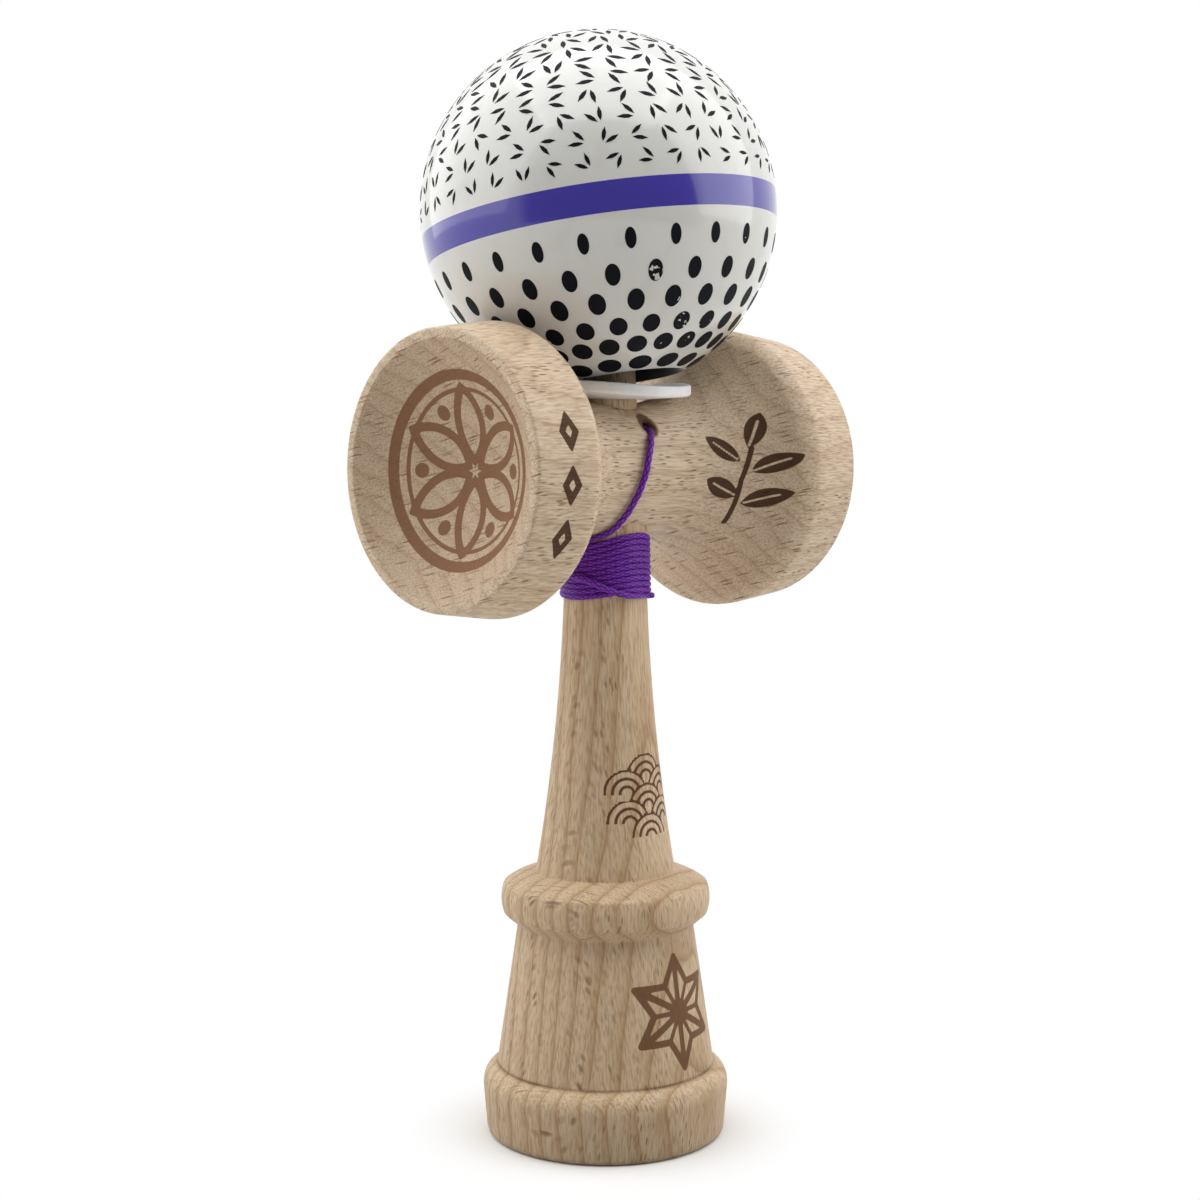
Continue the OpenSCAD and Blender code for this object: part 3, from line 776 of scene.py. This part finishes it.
def chip_ring_tree():
    tree = bpy.data.node_groups.new("ring_of_paint_chips", "GeometryNodeTree")
    face = tree.interface
    face.new_socket("Chip", in_out="INPUT", socket_type="NodeSocketGeometry")
    for name, kind in (
        ("Copies", "NodeSocketInt"), ("Latitude", "NodeSocketFloat"), ("Phase", "NodeSocketFloat"),
        ("Width", "NodeSocketFloat"), ("Height", "NodeSocketFloat"), ("Turn", "NodeSocketFloat"),
        ("Spread", "NodeSocketFloat"), ("Seed", "NodeSocketInt"), ("Ball radius", "NodeSocketFloat"),
        ("Proud", "NodeSocketFloat"), ("Paint", "NodeSocketMaterial"),
    ):
        face.new_socket(name, in_out="INPUT", socket_type=kind)
    face.new_socket("Chips", in_out="OUTPUT", socket_type="NodeSocketGeometry")
    given = add(tree, "NodeGroupInput").outputs
    place = add(tree, "GeometryNodeInputPosition").outputs[0]
    level = add(tree, "ShaderNodeSeparateXYZ", {0: place}).outputs[2]
    chip = add(
        tree, "GeometryNodeStoreNamedAttribute", {"Geometry": given["Chip"], "Name": "level", "Value": level},
        data_type="FLOAT", domain="POINT",
    ).outputs[0]
    index = add(tree, "GeometryNodeInputIndex").outputs[0]
    share = add(tree, "ShaderNodeMath", {0: index, 1: given["Copies"]}, operation="DIVIDE").outputs[0]
    angle = add(
        tree, "ShaderNodeMath", {0: share, 1: 2 * math.pi, 2: given["Phase"]}, operation="MULTIPLY_ADD"
    ).outputs[0]
    cos_lat = add(tree, "ShaderNodeMath", {0: given["Latitude"]}, operation="COSINE").outputs[0]
    sin_lat = add(tree, "ShaderNodeMath", {0: given["Latitude"]}, operation="SINE").outputs[0]
    cos_turn = add(tree, "ShaderNodeMath", {0: angle}, operation="COSINE").outputs[0]
    sin_turn = add(tree, "ShaderNodeMath", {0: angle}, operation="SINE").outputs[0]
    x = add(tree, "ShaderNodeMath", {0: cos_lat, 1: cos_turn}, operation="MULTIPLY").outputs[0]
    y = add(tree, "ShaderNodeMath", {0: cos_lat, 1: sin_turn}, operation="MULTIPLY").outputs[0]
    out = add(tree, "ShaderNodeCombineXYZ", {0: x, 1: y, 2: sin_lat}).outputs[0]
    spot = add(
        tree, "ShaderNodeVectorMath", {0: out, "Scale": given["Ball radius"]}, operation="SCALE"
    ).outputs[0]
    points = add(tree, "GeometryNodePoints", {"Count": given["Copies"], "Position": spot}).outputs[0]
    upright = add(
        tree, "FunctionNodeAxesToRotation", {0: out, 1: (0, 0, 1)}, primary_axis="Z", secondary_axis="Y"
    ).outputs[0]
    half = add(tree, "ShaderNodeMath", {0: given["Spread"], 1: -0.5}, operation="MULTIPLY").outputs[0]
    low = add(tree, "ShaderNodeMath", {0: given["Turn"], 1: half}, operation="ADD").outputs[0]
    high = add(tree, "ShaderNodeMath", {0: given["Turn"], 1: half}, operation="SUBTRACT").outputs[0]
    chance = add(tree, "FunctionNodeRandomValue", {2: low, 3: high, "Seed": given["Seed"]}, data_type="FLOAT")
    twist = add(tree, "ShaderNodeCombineXYZ", {2: chance.outputs[1]}).outputs[0]
    twist = add(tree, "FunctionNodeEulerToRotation", {0: twist}).outputs[0]
    turned_chip = add(
        tree, "FunctionNodeRotateRotation", {0: upright, 1: twist}, rotation_space="LOCAL"
    ).outputs[0]
    size = add(
        tree, "ShaderNodeCombineXYZ", {0: given["Width"], 1: given["Height"], 2: given["Proud"]}
    ).outputs[0]
    stood = add(
        tree, "GeometryNodeInstanceOnPoints",
        {"Points": points, "Instance": chip, "Rotation": turned_chip, "Scale": size},
    ).outputs[0]
    real = add(tree, "GeometryNodeRealizeInstances", {0: stood}).outputs[0]
    stored = add(tree, "GeometryNodeInputNamedAttribute", {"Name": "level"}, data_type="FLOAT").outputs[0]
    lift = add(
        tree, "ShaderNodeMath", {0: stored, 1: given["Proud"], 2: given["Ball radius"]},
        operation="MULTIPLY_ADD",
    ).outputs[0]
    way = add(tree, "ShaderNodeVectorMath", {0: place}, operation="NORMALIZE").outputs[0]
    laid = add(tree, "ShaderNodeVectorMath", {0: way, "Scale": lift}, operation="SCALE").outputs[0]
    lain = add(tree, "GeometryNodeSetPosition", {"Geometry": real, "Position": laid}).outputs[0]
    painted = add(tree, "GeometryNodeSetMaterial", {"Geometry": lain, "Material": given["Paint"]}).outputs[0]
    add(tree, "NodeGroupOutput", {0: painted})
    return tree


chip_tree = chip_ring_tree()
print("chip ring tree has", len(chip_tree.nodes), "nodes")

# %% [markdown]
# Materials start here. Colours are written as sRGB codes and turned to linear once. All wood, paint and
# string reads Object coordinates in metres, so a scale of 1000 / n makes a pattern n millimetres long.

# %% Colour and material helpers
def colour(code):
    parts = [int(code[k:k + 2], 16) / 255 for k in (1, 3, 5)]
    linear = [c / 12.92 if c <= 0.04045 else ((c + 0.055) / 1.055) ** 2.4 for c in parts]
    return (*linear, 1)


def new_material(name):
    material = bpy.data.materials.new(name)
    material.use_nodes = True
    tree = material.node_tree
    return material, tree, tree.nodes["Principled BSDF"]


def ramp_stops(ramp, stops):
    marks = ramp.color_ramp.elements
    while len(marks) < len(stops):
        marks.new(0.5)
    for mark, (place, code) in zip(marks, stops):
        mark.position = place
        mark.color = colour(code)


print("material helpers ready")

# %% [markdown]
# Beech, turned and sanded, with a thin wax. Close up it shows four things: growth rings as soft brown
# lines, medullary rays as short dark flecks on faces that look away from the heart of the tree and as broad
# flakes on faces that look across, fine pores along the grain, and a slow change of tone. All are made in
# the tree's own directions (out from the heart, across, along the grain), so that they meet any turned
# surface as they do on the real wood.

# %% Beech
def beech(name, ground, out, along, heart_mm, ring_mm, ring_depth, ray_depth):
    material, tree, shader = new_material(name)
    out, along = Vector(out).normalized(), Vector(along).normalized()
    axes = Matrix((out, along.cross(out), along))
    place = add(tree, "ShaderNodeTexCoord").outputs["Object"]
    place = add(tree, "ShaderNodeMapping", {0: place, 2: axes.to_euler()}).outputs[0]
    slow = add(
        tree, "ShaderNodeVectorMath", {0: place, 1: (1000 / 14, 1000 / 14, 1000 / 70)}, operation="MULTIPLY"
    ).outputs[0]
    wander = add(tree, "ShaderNodeTexNoise", {"Vector": slow, "Scale": 1, "Detail": 2}).outputs[0]
    from_heart = add(
        tree, "ShaderNodeVectorMath", {0: place, 1: (1000, 1000, 0), 2: (heart_mm, 0, 0)},
        operation="MULTIPLY_ADD",
    ).outputs[0]
    radius = add(tree, "ShaderNodeVectorMath", {0: from_heart}, operation="LENGTH").outputs["Value"]
    wavy = add(
        tree, "ShaderNodeMath", {0: wander, 1: 1.9 * ring_mm, 2: radius}, operation="MULTIPLY_ADD"
    ).outputs[0]
    ring = add(tree, "ShaderNodeMath", {0: wavy, 1: ring_mm}, operation="DIVIDE").outputs[0]
    ring = add(tree, "ShaderNodeMath", {0: ring}, operation="FRACT").outputs[0]
    rings = add(tree, "ShaderNodeValToRGB", {0: ring})
    ramp_stops(rings, [
        (0.0, "#B8966F"), (0.05, "#D0B795"), (0.35, "#DBC5A7"), (0.72, "#D0B795"), (0.92, "#B99872"),
        (1.0, "#8E6A48"),
    ])
    rings = add(
        tree, "ShaderNodeMix", {0: ring_depth, 6: colour(ground), 7: rings.outputs[0]}, data_type="RGBA"
    ).outputs[2]
    fibre_place = add(
        tree, "ShaderNodeVectorMath", {0: place, 1: (1000 / 0.32, 1000 / 0.26, 1000 / 4.6)},
        operation="MULTIPLY",
    ).outputs[0]
    fibre = add(tree, "ShaderNodeTexNoise", {"Vector": fibre_place, "Scale": 1, "Detail": 3}).outputs[0]
    ray_place = add(
        tree, "ShaderNodeVectorMath", {0: place, 1: (1000 / 5, 1000 / 0.36, 1000 / 2.3)}, operation="MULTIPLY"
    ).outputs[0]
    rays = add(tree, "ShaderNodeTexVoronoi", {"Vector": ray_place, "Scale": 1})
    near = add(
        tree, "ShaderNodeMapRange", {0: rays.outputs["Distance"], 1: 0.42, 2: 0.2, 3: 0.0, 4: 1.0}
    ).outputs[0]
    pick = add(tree, "ShaderNodeSeparateColor", {0: rays.outputs["Color"]}).outputs[0]
    strength = add(tree, "ShaderNodeMapRange", {0: pick, 1: 0.35, 2: 1.0, 3: 0.0, 4: 1.0}).outputs[0]
    fleck = add(tree, "ShaderNodeMath", {0: near, 1: strength}, operation="MULTIPLY").outputs[0]
    tone = add(tree, "ShaderNodeMapRange", {0: fibre, 1: 0.42, 2: 0.66, 3: 0.0, 4: 0.58}).outputs[0]
    wood = add(
        tree, "ShaderNodeMix", {0: tone, 6: rings, 7: colour("#A07A57")}, data_type="RGBA"
    ).outputs[2]
    flecked = add(tree, "ShaderNodeMath", {0: fleck, 1: ray_depth}, operation="MULTIPLY").outputs[0]
    wood = add(
        tree, "ShaderNodeMix", {0: flecked, 6: wood, 7: colour("#7E583A")}, data_type="RGBA"
    ).outputs[2]
    edge = add(tree, "ShaderNodeAttribute", attribute_name="edge").outputs["Fac"]
    marked = add(tree, "ShaderNodeMapRange", {0: edge, 1: 0.06, 2: -0.06, 3: 0.0, 4: 0.95}).outputs[0]
    # Stains and painted shade darken the wood, as the burned marks do.
    stain_and_shade = add(tree, "ShaderNodeAttribute", attribute_name="stain_and_shade").outputs["Fac"]
    cover = add(tree, "ShaderNodeMath", {0: marked, 1: stain_and_shade}, operation="MAXIMUM").outputs[0]
    depth = add(tree, "ShaderNodeAttribute", attribute_name="char").outputs["Fac"]
    deep = add(tree, "ShaderNodeMath", {0: fibre, 1: 0.25, 2: depth}, operation="MULTIPLY_ADD").outputs[0]
    char = add(tree, "ShaderNodeValToRGB", {0: deep})
    ramp_stops(char, [(0.2, "#8E664A"), (1.0, "#432818")])
    final = add(tree, "ShaderNodeMix", {0: cover, 6: wood, 7: char.outputs[0]}, data_type="RGBA").outputs[2]
    tree.links.new(final, shader.inputs["Base Color"])
    rough = add(tree, "ShaderNodeMapRange", {0: fibre, 3: 0.46, 4: 0.66}).outputs[0]
    tree.links.new(rough, shader.inputs["Roughness"])
    pores = add(tree, "ShaderNodeMath", {0: fleck, 1: -0.6, 2: fibre}, operation="MULTIPLY_ADD").outputs[0]
    bump = add(tree, "ShaderNodeBump", {"Strength": 0.6, "Distance": 0.07 * MM, "Height": pores}).outputs[0]
    tree.links.new(bump, shader.inputs["Normal"])
    sheen = add(tree, "ShaderNodeMapRange", {0: cover, 3: 0.35, 4: 0.08}).outputs[0]
    tree.links.new(sheen, shader.inputs["Specular IOR Level"])
    return material


ken_beech = beech("beech_ken", "#D2BA98", (0.263, -0.962, 0.0), (0.0, 0.0, 1.0), 60.0, 3.45, 0.62, 0.75)
sarado_beech = beech("beech_sarado", "#DBCAB2", (0.0, -0.97, 0.25), (1.0, 0.0, 0.0), 110.0, 3.4, 0.4, 0.95)
for piece, wood in ((ken, ken_beech), (sarado, sarado_beech), (bead, ken_beech)):
    piece.data.materials.clear()
    piece.data.materials.append(wood)
print("beech on", ken.name, sarado.name, bead.name)

# %% [markdown]
# The ball has a white ground lacquer with one violet band, under a clear gloss coat. The band follows the
# ball's own latitude, so it is a test on how far a point lies along the ball's axis. What lies deeper than
# the skin is the bore, which is black. Handling leaves faint grey smudges on the white.

# %% Lacquer
def latitude_sine(tree):
    place = add(tree, "ShaderNodeTexCoord").outputs["Object"]
    centred = add(
        tree, "ShaderNodeVectorMath", {0: place, 1: tuple(ball_centre * MM)}, operation="SUBTRACT"
    ).outputs[0]
    height = add(
        tree, "ShaderNodeVectorMath", {0: centred, 1: tuple(ball_axis)}, operation="DOT_PRODUCT"
    ).outputs["Value"]
    sine = add(tree, "ShaderNodeMath", {0: height, 1: ball_r * MM}, operation="DIVIDE").outputs[0]
    out = add(tree, "ShaderNodeVectorMath", {0: centred}, operation="LENGTH").outputs["Value"]
    inside = add(tree, "ShaderNodeMath", {0: out, 1: (ball_r - 0.07) * MM}, operation="LESS_THAN").outputs[0]
    return place, sine, inside


def gloss(shader):
    shader.inputs["Roughness"].default_value = 0.16
    shader.inputs["IOR"].default_value = 1.5
    shader.inputs["Coat Weight"].default_value = 0.75
    shader.inputs["Coat Roughness"].default_value = 0.05
    shader.inputs["Coat IOR"].default_value = 1.45
    shader.inputs["Specular IOR Level"].default_value = 0.35


def lacquer(name):
    material, tree, shader = new_material(name)
    place, sine, inside = latitude_sine(tree)
    top, low = math.sin(math.radians(-1.0)), math.sin(math.radians(-10.25))
    under = add(tree, "ShaderNodeMath", {0: sine, 1: top}, operation="LESS_THAN").outputs[0]
    over = add(tree, "ShaderNodeMath", {0: sine, 1: low}, operation="GREATER_THAN").outputs[0]
    band = add(tree, "ShaderNodeMath", {0: under, 1: over}, operation="MULTIPLY").outputs[0]
    smudge = add(tree, "ShaderNodeTexNoise", {"Vector": place, "Scale": 1000 / 6, "Detail": 5}).outputs[0]
    worn = add(tree, "ShaderNodeMapRange", {0: smudge, 1: 0.55, 2: 0.85, 3: 0.0, 4: 0.5}).outputs[0]
    white = add(
        tree, "ShaderNodeMix", {0: worn, 6: colour("#D8D8D4"), 7: colour("#C4C4BD")}, data_type="RGBA"
    ).outputs[2]
    skin = add(tree, "ShaderNodeMix", {0: band, 6: white, 7: colour("#4840A4")}, data_type="RGBA").outputs[2]
    final = add(
        tree, "ShaderNodeMix", {0: inside, 6: skin, 7: colour("#121318")}, data_type="RGBA"
    ).outputs[2]
    tree.links.new(final, shader.inputs["Base Color"])
    gloss(shader)
    return material


def print_black(name):
    material, tree, shader = new_material(name)
    place = add(tree, "ShaderNodeTexCoord").outputs["Object"]
    grain = add(tree, "ShaderNodeTexNoise", {"Vector": place, "Scale": 1000 / 1.1, "Detail": 4}).outputs[0]
    patch = add(tree, "ShaderNodeTexNoise", {"Vector": place, "Scale": 1000 / 9, "Detail": 1}).outputs[0]
    both = add(tree, "ShaderNodeMath", {0: grain, 1: patch}, operation="MULTIPLY").outputs[0]
    chipped = add(tree, "ShaderNodeMath", {0: both, 1: 0.45}, operation="GREATER_THAN").outputs[0]
    final = add(
        tree, "ShaderNodeMix", {0: chipped, 6: colour("#0E1016"), 7: colour("#D2D2CC")}, data_type="RGBA"
    ).outputs[2]
    tree.links.new(final, shader.inputs["Base Color"])
    shader.inputs["Roughness"].default_value = 0.5
    shader.inputs["Specular IOR Level"].default_value = 0.08
    return material


ball.data.materials.append(lacquer("white_lacquer_with_violet_band"))
black_print = print_black("black_screen_print")
print("lacquer on", ball.name)

# %% [markdown]
# Now the chips themselves. A dot is a twenty-sided plate, and a pair of needles is two slim plates that
# meet at a point. Each row gets its own latitude, size and count, and all rows are then joined on the ball.

# %% Print on the ball
def plate(outlines):
    points, faces = [], []
    for outline in outlines:
        first, count = len(points), len(outline)
        middle = tuple(np.mean(outline, axis=0))
        points += [(x, y, z) for z in (-1, 1) for x, y in outline + [middle]]
        low, high = first + count, first + 2 * count + 1
        for k in range(count):
            a, b = first + k, first + (k + 1) % count
            c, d = a + count + 1, b + count + 1
            faces += [(b, a, low), (c, d, high), (a, b, d, c)]
    return points, faces


def chip_row(points, faces, values):
    chip = new_piece("chip", points, faces)
    step = chip.modifiers.new("ring", "NODES")
    step.node_group = chip_tree
    for item in chip_tree.interface.items_tree:
        if item.in_out == "INPUT" and item.name in values:
            step[item.identifier] = values[item.name]
    depsgraph = bpy.context.evaluated_depsgraph_get()
    mesh = bpy.data.meshes.new_from_object(chip.evaluated_get(depsgraph))
    bpy.data.objects.remove(chip)
    return mesh


def on_ball(name, meshes, paint):
    whole = bmesh.new()
    for mesh in meshes:
        whole.from_mesh(mesh)
    bmesh.ops.transform(whole, matrix=ball_place, verts=whole.verts)
    bmesh.ops.scale(whole, vec=(MM, MM, MM), verts=whole.verts)
    mesh = bpy.data.meshes.new(name)
    whole.to_mesh(mesh)
    whole.free()
    mesh.set_sharp_from_angle(angle=math.radians(40))
    piece = bpy.data.objects.new(name, mesh)
    bpy.context.scene.collection.objects.link(piece)
    mesh.materials.clear()
    mesh.materials.append(paint)
    return piece


dot_plate = plate([[(math.cos(a), math.sin(a)) for a in np.arange(20) * math.pi / 10]])
dot_rows = [
    (24, -18.4, 1.83, 3.35, 4.8), (24, -28.9, 2.46, 3.66, 12.8), (24, -37.8, 2.83, 3.87, 5.6),
    (24, -46.9, 2.95, 3.6, 12.8), (24, -55.0, 3.35, 3.8, 6.8), (16, -64.5, 3.9, 3.9, 18.8),
]
paint_proud = 0.04
dots = on_ball("tama_dots", [
    chip_row(*dot_plate, {
        "Copies": copies, "Latitude": math.radians(lat), "Phase": math.radians(phase), "Width": wide / 2,
        "Height": tall / 2, "Turn": 0.0, "Spread": 0.0, "Seed": 0, "Ball radius": ball_r,
        "Proud": paint_proud, "Paint": black_print,
    })
    for copies, lat, wide, tall, phase in dot_rows
], black_print)


def needle(degrees):
    turn = math.radians(degrees)
    shape = [(0, 0), (0.12, 0.3), (0.135, 0.6), (0.0, 1.0), (-0.135, 0.6), (-0.12, 0.3)]
    return [
        (x * math.cos(turn) - (y - 0.5) * math.sin(turn), x * math.sin(turn) + (y - 0.5) * math.cos(turn))
        for x, y in shape
    ]


needle_plate = plate([
    [(x + 0.3, y) for x, y in needle(-24)], [(x - 0.3, y) for x, y in needle(24)],
])
needle_meshes = []
for row, lat in enumerate(np.arange(5.0, 84.0, 7.2)):
    copies = max(3, round(2 * math.pi * ball_r * math.cos(math.radians(lat)) / 4.9))
    needle_size = 2.2 + 1.0 * min(1, lat / 45)
    needle_meshes.append(chip_row(*needle_plate, {
        "Copies": copies, "Latitude": math.radians(lat), "Phase": row * 1.3, "Width": needle_size,
        "Height": needle_size, "Turn": 0.0, "Spread": 6.0, "Seed": row, "Ball radius": ball_r,
        "Proud": paint_proud, "Paint": black_print,
    }))
needles = on_ball("tama_needles", needle_meshes, black_print)
print("print has", len(dots.data.polygons), "dot faces and", len(needles.data.polygons), "needle faces")

# %% [markdown]
# The string is braided nylon. The height of the braid is kept on the mesh, and the colour paints shade into
# the seams between the strands and a highlight on the crowns of the braid.

# %% Nylon
def nylon(name):
    material, tree, shader = new_material(name)
    braid = add(tree, "ShaderNodeAttribute", attribute_name="braid").outputs["Fac"]
    place = add(tree, "ShaderNodeTexCoord").outputs["Object"]
    thread = add(tree, "ShaderNodeTexNoise", {"Vector": place, "Scale": 1000 / 0.5, "Detail": 3}).outputs[0]
    # Painted shade in the seams of the braid and a painted highlight on its crowns.
    both = add(tree, "ShaderNodeMath", {0: thread, 1: 0.5, 2: braid}, operation="MULTIPLY_ADD").outputs[0]
    seam_shade_and_crown_highlight = add(tree, "ShaderNodeValToRGB", {0: both})
    ramp_stops(seam_shade_and_crown_highlight, [(0.36, "#0D0118"), (0.74, "#440A76"), (1.0, "#8A30C4")])
    tree.links.new(seam_shade_and_crown_highlight.outputs[0], shader.inputs["Base Color"])
    shader.inputs["Roughness"].default_value = 0.5
    shader.inputs["Specular IOR Level"].default_value = 0.3
    return material


violet_nylon = nylon("braided_nylon")
for piece in (string, ken_knot, ball_knot):
    piece.data.materials.append(violet_nylon)
print("nylon on", string.name)

# %% [markdown]
# The washer is soft white plastic, moulded and a little satin, with faint marks from handling.

# %% Soft plastic
def soft_plastic(name):
    material, tree, shader = new_material(name)
    place = add(tree, "ShaderNodeTexCoord").outputs["Object"]
    mottle = add(tree, "ShaderNodeTexNoise", {"Vector": place, "Scale": 1000 / 3, "Detail": 4}).outputs[0]
    tone = add(tree, "ShaderNodeMapRange", {0: mottle, 1: 0.4, 2: 0.8}).outputs[0]
    white = add(
        tree, "ShaderNodeMix", {0: tone, 6: colour("#FAFAFA"), 7: colour("#EBECED")}, data_type="RGBA"
    ).outputs[2]
    tree.links.new(white, shader.inputs["Base Color"])
    rough = add(tree, "ShaderNodeMapRange", {0: mottle, 3: 0.35, 4: 0.5}).outputs[0]
    tree.links.new(rough, shader.inputs["Roughness"])
    shader.inputs["Subsurface Weight"].default_value = 0.25
    shader.inputs["Subsurface Radius"].default_value = (1, 1, 1)
    shader.inputs["Subsurface Scale"].default_value = 2 * MM
    return material


washer.data.materials.append(soft_plastic("soft_white_plastic"))
print("plastic on", washer.name)

# %% [markdown]
# Every piece but the string is now tied to the body that carries it, and stands for the solid that it covers.
# The string goes from the ken to the end that is held in the ball, passing behind the ball; it is tied to no
# body and stays where it was made.

# %% Ride on the frame
for piece, node, body, finish in (
    (ken, "ken", "ken", "beech"),
    (sarado, "sarado", "ken", "beech"),
    (washer, "spike_washer", "washer", "washer"),
    (ball, "tama", "tama", "painted_beech"),
    (bead, "string_bead", "string_end", "bead"),
    (ken_knot, "ken_knot", "ken", "string"),
    (ball_knot, "tama_knot", "string_end", "string"),
):
    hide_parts(node)
    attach(piece, body)
for piece in (dots, needles):
    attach(piece, "tama")
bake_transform(string)
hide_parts("string_lead", "string_winding", "string_tail", "string_inner")
print("pieces ride on their bodies")

# %% [markdown]
# The kendama stands on a pale floor that fades to white, so that no horizon shows. Light comes from two
# wide white panels at the sides and one above, as in a small light tent, and the front stays open and
# darker.

# %% Floor
open_turn = camera_turn + math.radians(10)
open_way = (math.sin(open_turn), -math.cos(open_turn), 0)


def floor_paint(name):
    material, tree, shader = new_material(name)
    shader.inputs["Roughness"].default_value = 0.9
    shader.inputs["Specular IOR Level"].default_value = 0.1
    place = add(tree, "ShaderNodeTexCoord").outputs["Object"]
    away = add(tree, "ShaderNodeVectorMath", {0: place}, operation="LENGTH").outputs["Value"]
    fade = add(
        tree, "ShaderNodeMapRange", {0: away, 1: 0.018, 2: 0.036}, interpolation_type="SMOOTHSTEP"
    ).outputs[0]
    path = add(tree, "ShaderNodeLightPath").outputs
    seen = add(
        tree, "ShaderNodeMath", {0: path["Is Camera Ray"], 1: path["Is Glossy Ray"]}, operation="ADD"
    ).outputs[0]
    seen = add(
        tree, "ShaderNodeMath", {0: seen, 1: path["Is Transmission Ray"]}, operation="ADD", use_clamp=True
    ).outputs[0]
    # Painted shade: for bounced light the floor is darker close to the kendama and towards the open front.
    ahead = add(
        tree, "ShaderNodeVectorMath", {0: place, 1: open_way}, operation="DOT_PRODUCT"
    ).outputs["Value"]
    open_side = add(tree, "ShaderNodeMapRange", {0: ahead, 1: -0.02, 2: 0.12, 3: 1.0, 4: 0.75}).outputs[0]
    clear = add(tree, "ShaderNodeMapRange", {0: away, 1: 0.05, 2: 0.2}).outputs[0]
    lit = add(tree, "ShaderNodeMath", {0: clear, 1: open_side}, operation="MULTIPLY").outputs[0]
    bounce_with_painted_shade = add(
        tree, "ShaderNodeMix", {0: lit, 6: colour("#B0AEAA"), 7: colour("#F4F2EE")}, data_type="RGBA"
    )
    paint = add(
        tree, "ShaderNodeMix", {0: seen, 6: bounce_with_painted_shade.outputs[2], 7: colour("#F2F1EF")}, data_type="RGBA"
    )
    tree.links.new(paint.outputs[2], shader.inputs["Base Color"])
    share = add(tree, "ShaderNodeMath", {0: fade, 1: seen}, operation="MULTIPLY").outputs[0]
    white = add(tree, "ShaderNodeEmission", {0: (1, 1, 1, 1), 1: 1.0}).outputs[0]
    mixed = add(tree, "ShaderNodeMixShader", {0: share, 1: shader.outputs[0], 2: white}).outputs[0]
    tree.links.new(mixed, tree.nodes["Material Output"].inputs[0])
    return material


floor_r = 0.9
ring = [(floor_r * math.cos(a), floor_r * math.sin(a), 0) for a in np.arange(96) * math.pi / 48]
floor = new_piece("floor", [(0, 0, 0)] + ring, [(0, 1 + k, 1 + (k + 1) % 96) for k in range(96)])
floor.data.materials.append(floor_paint("pale_floor"))
print("floor is", 2 * floor_r, "m across")

# %% [markdown]
# The tent's walls are one white, seen as white by the camera. They light the wood at about half strength, and
# the open front is dark, which gives the lacquer something to mirror.

# %% World
world = bpy.data.worlds.new("tent")
world.use_nodes = True
bpy.context.scene.world = world
tent = world.node_tree
way = add(tent, "ShaderNodeTexCoord").outputs["Generated"]
facing = add(tent, "ShaderNodeVectorMath", {0: way, 1: open_way}, operation="DOT_PRODUCT").outputs["Value"]
walls = add(tent, "ShaderNodeMapRange", {0: facing, 1: 0.58, 2: 0.46, 3: 0.05, 4: 1.0}).outputs[0]
path = add(tent, "ShaderNodeLightPath").outputs
light = add(tent, "ShaderNodeMath", {0: walls, 1: 0.55}, operation="MULTIPLY").outputs[0]
fill = add(tent, "ShaderNodeBackground", {0: (1, 1, 1, 1), 1: light}).outputs[0]
mirrored = add(tent, "ShaderNodeBackground", {0: (1, 1, 1, 1), 1: walls}).outputs[0]
white = add(tent, "ShaderNodeBackground", {0: (1, 1, 1, 1), 1: 1.0}).outputs[0]
both = add(tent, "ShaderNodeMixShader", {0: path["Is Glossy Ray"], 1: fill, 2: mirrored}).outputs[0]
seen = add(
    tent, "ShaderNodeMath", {0: path["Is Camera Ray"], 1: path["Is Transmission Ray"]},
    operation="ADD", use_clamp=True,
).outputs[0]
both = add(tent, "ShaderNodeMixShader", {0: seen, 1: both, 2: white}).outputs[0]
tent.links.new(both, tent.nodes["World Output"].inputs[0])
bpy.context.scene.view_settings.view_transform = "Standard"
print("world is a white tent with an open front")

# %% [markdown]
# The panels are area lights. Each is placed by its angle from the camera and looks at the middle of the cross
# piece.

# %% Lights
def panel(name, degrees, distance, height, width, tall, watts):
    lamp = bpy.data.lights.new(name, "AREA")
    lamp.shape = "RECTANGLE"
    lamp.size, lamp.size_y = width, tall
    lamp.energy = watts
    light = bpy.data.objects.new(name, lamp)
    turn = camera_turn + math.radians(degrees)
    light.location = (distance * math.sin(turn), -distance * math.cos(turn), height)
    aim = Vector((0, 0, 0.11)) - light.location
    light.rotation_euler = aim.to_track_quat("-Z", "Y").to_euler()
    light.visible_camera = False
    bpy.context.scene.collection.objects.link(light)


panel("left_panel", -95, 0.42, 0.38, 0.84, 0.6, 1.6)
panel("right_panel", 88, 0.42, 0.38, 0.5, 0.6, 1.35)
panel("top_panel", 0, 0.05, 0.7, 0.7, 0.7, 3.1)
print("three panels light the tent")

# %% [markdown]
# Last, the scene is brought up to date.

# %% Update the scene
bpy.context.view_layer.update()
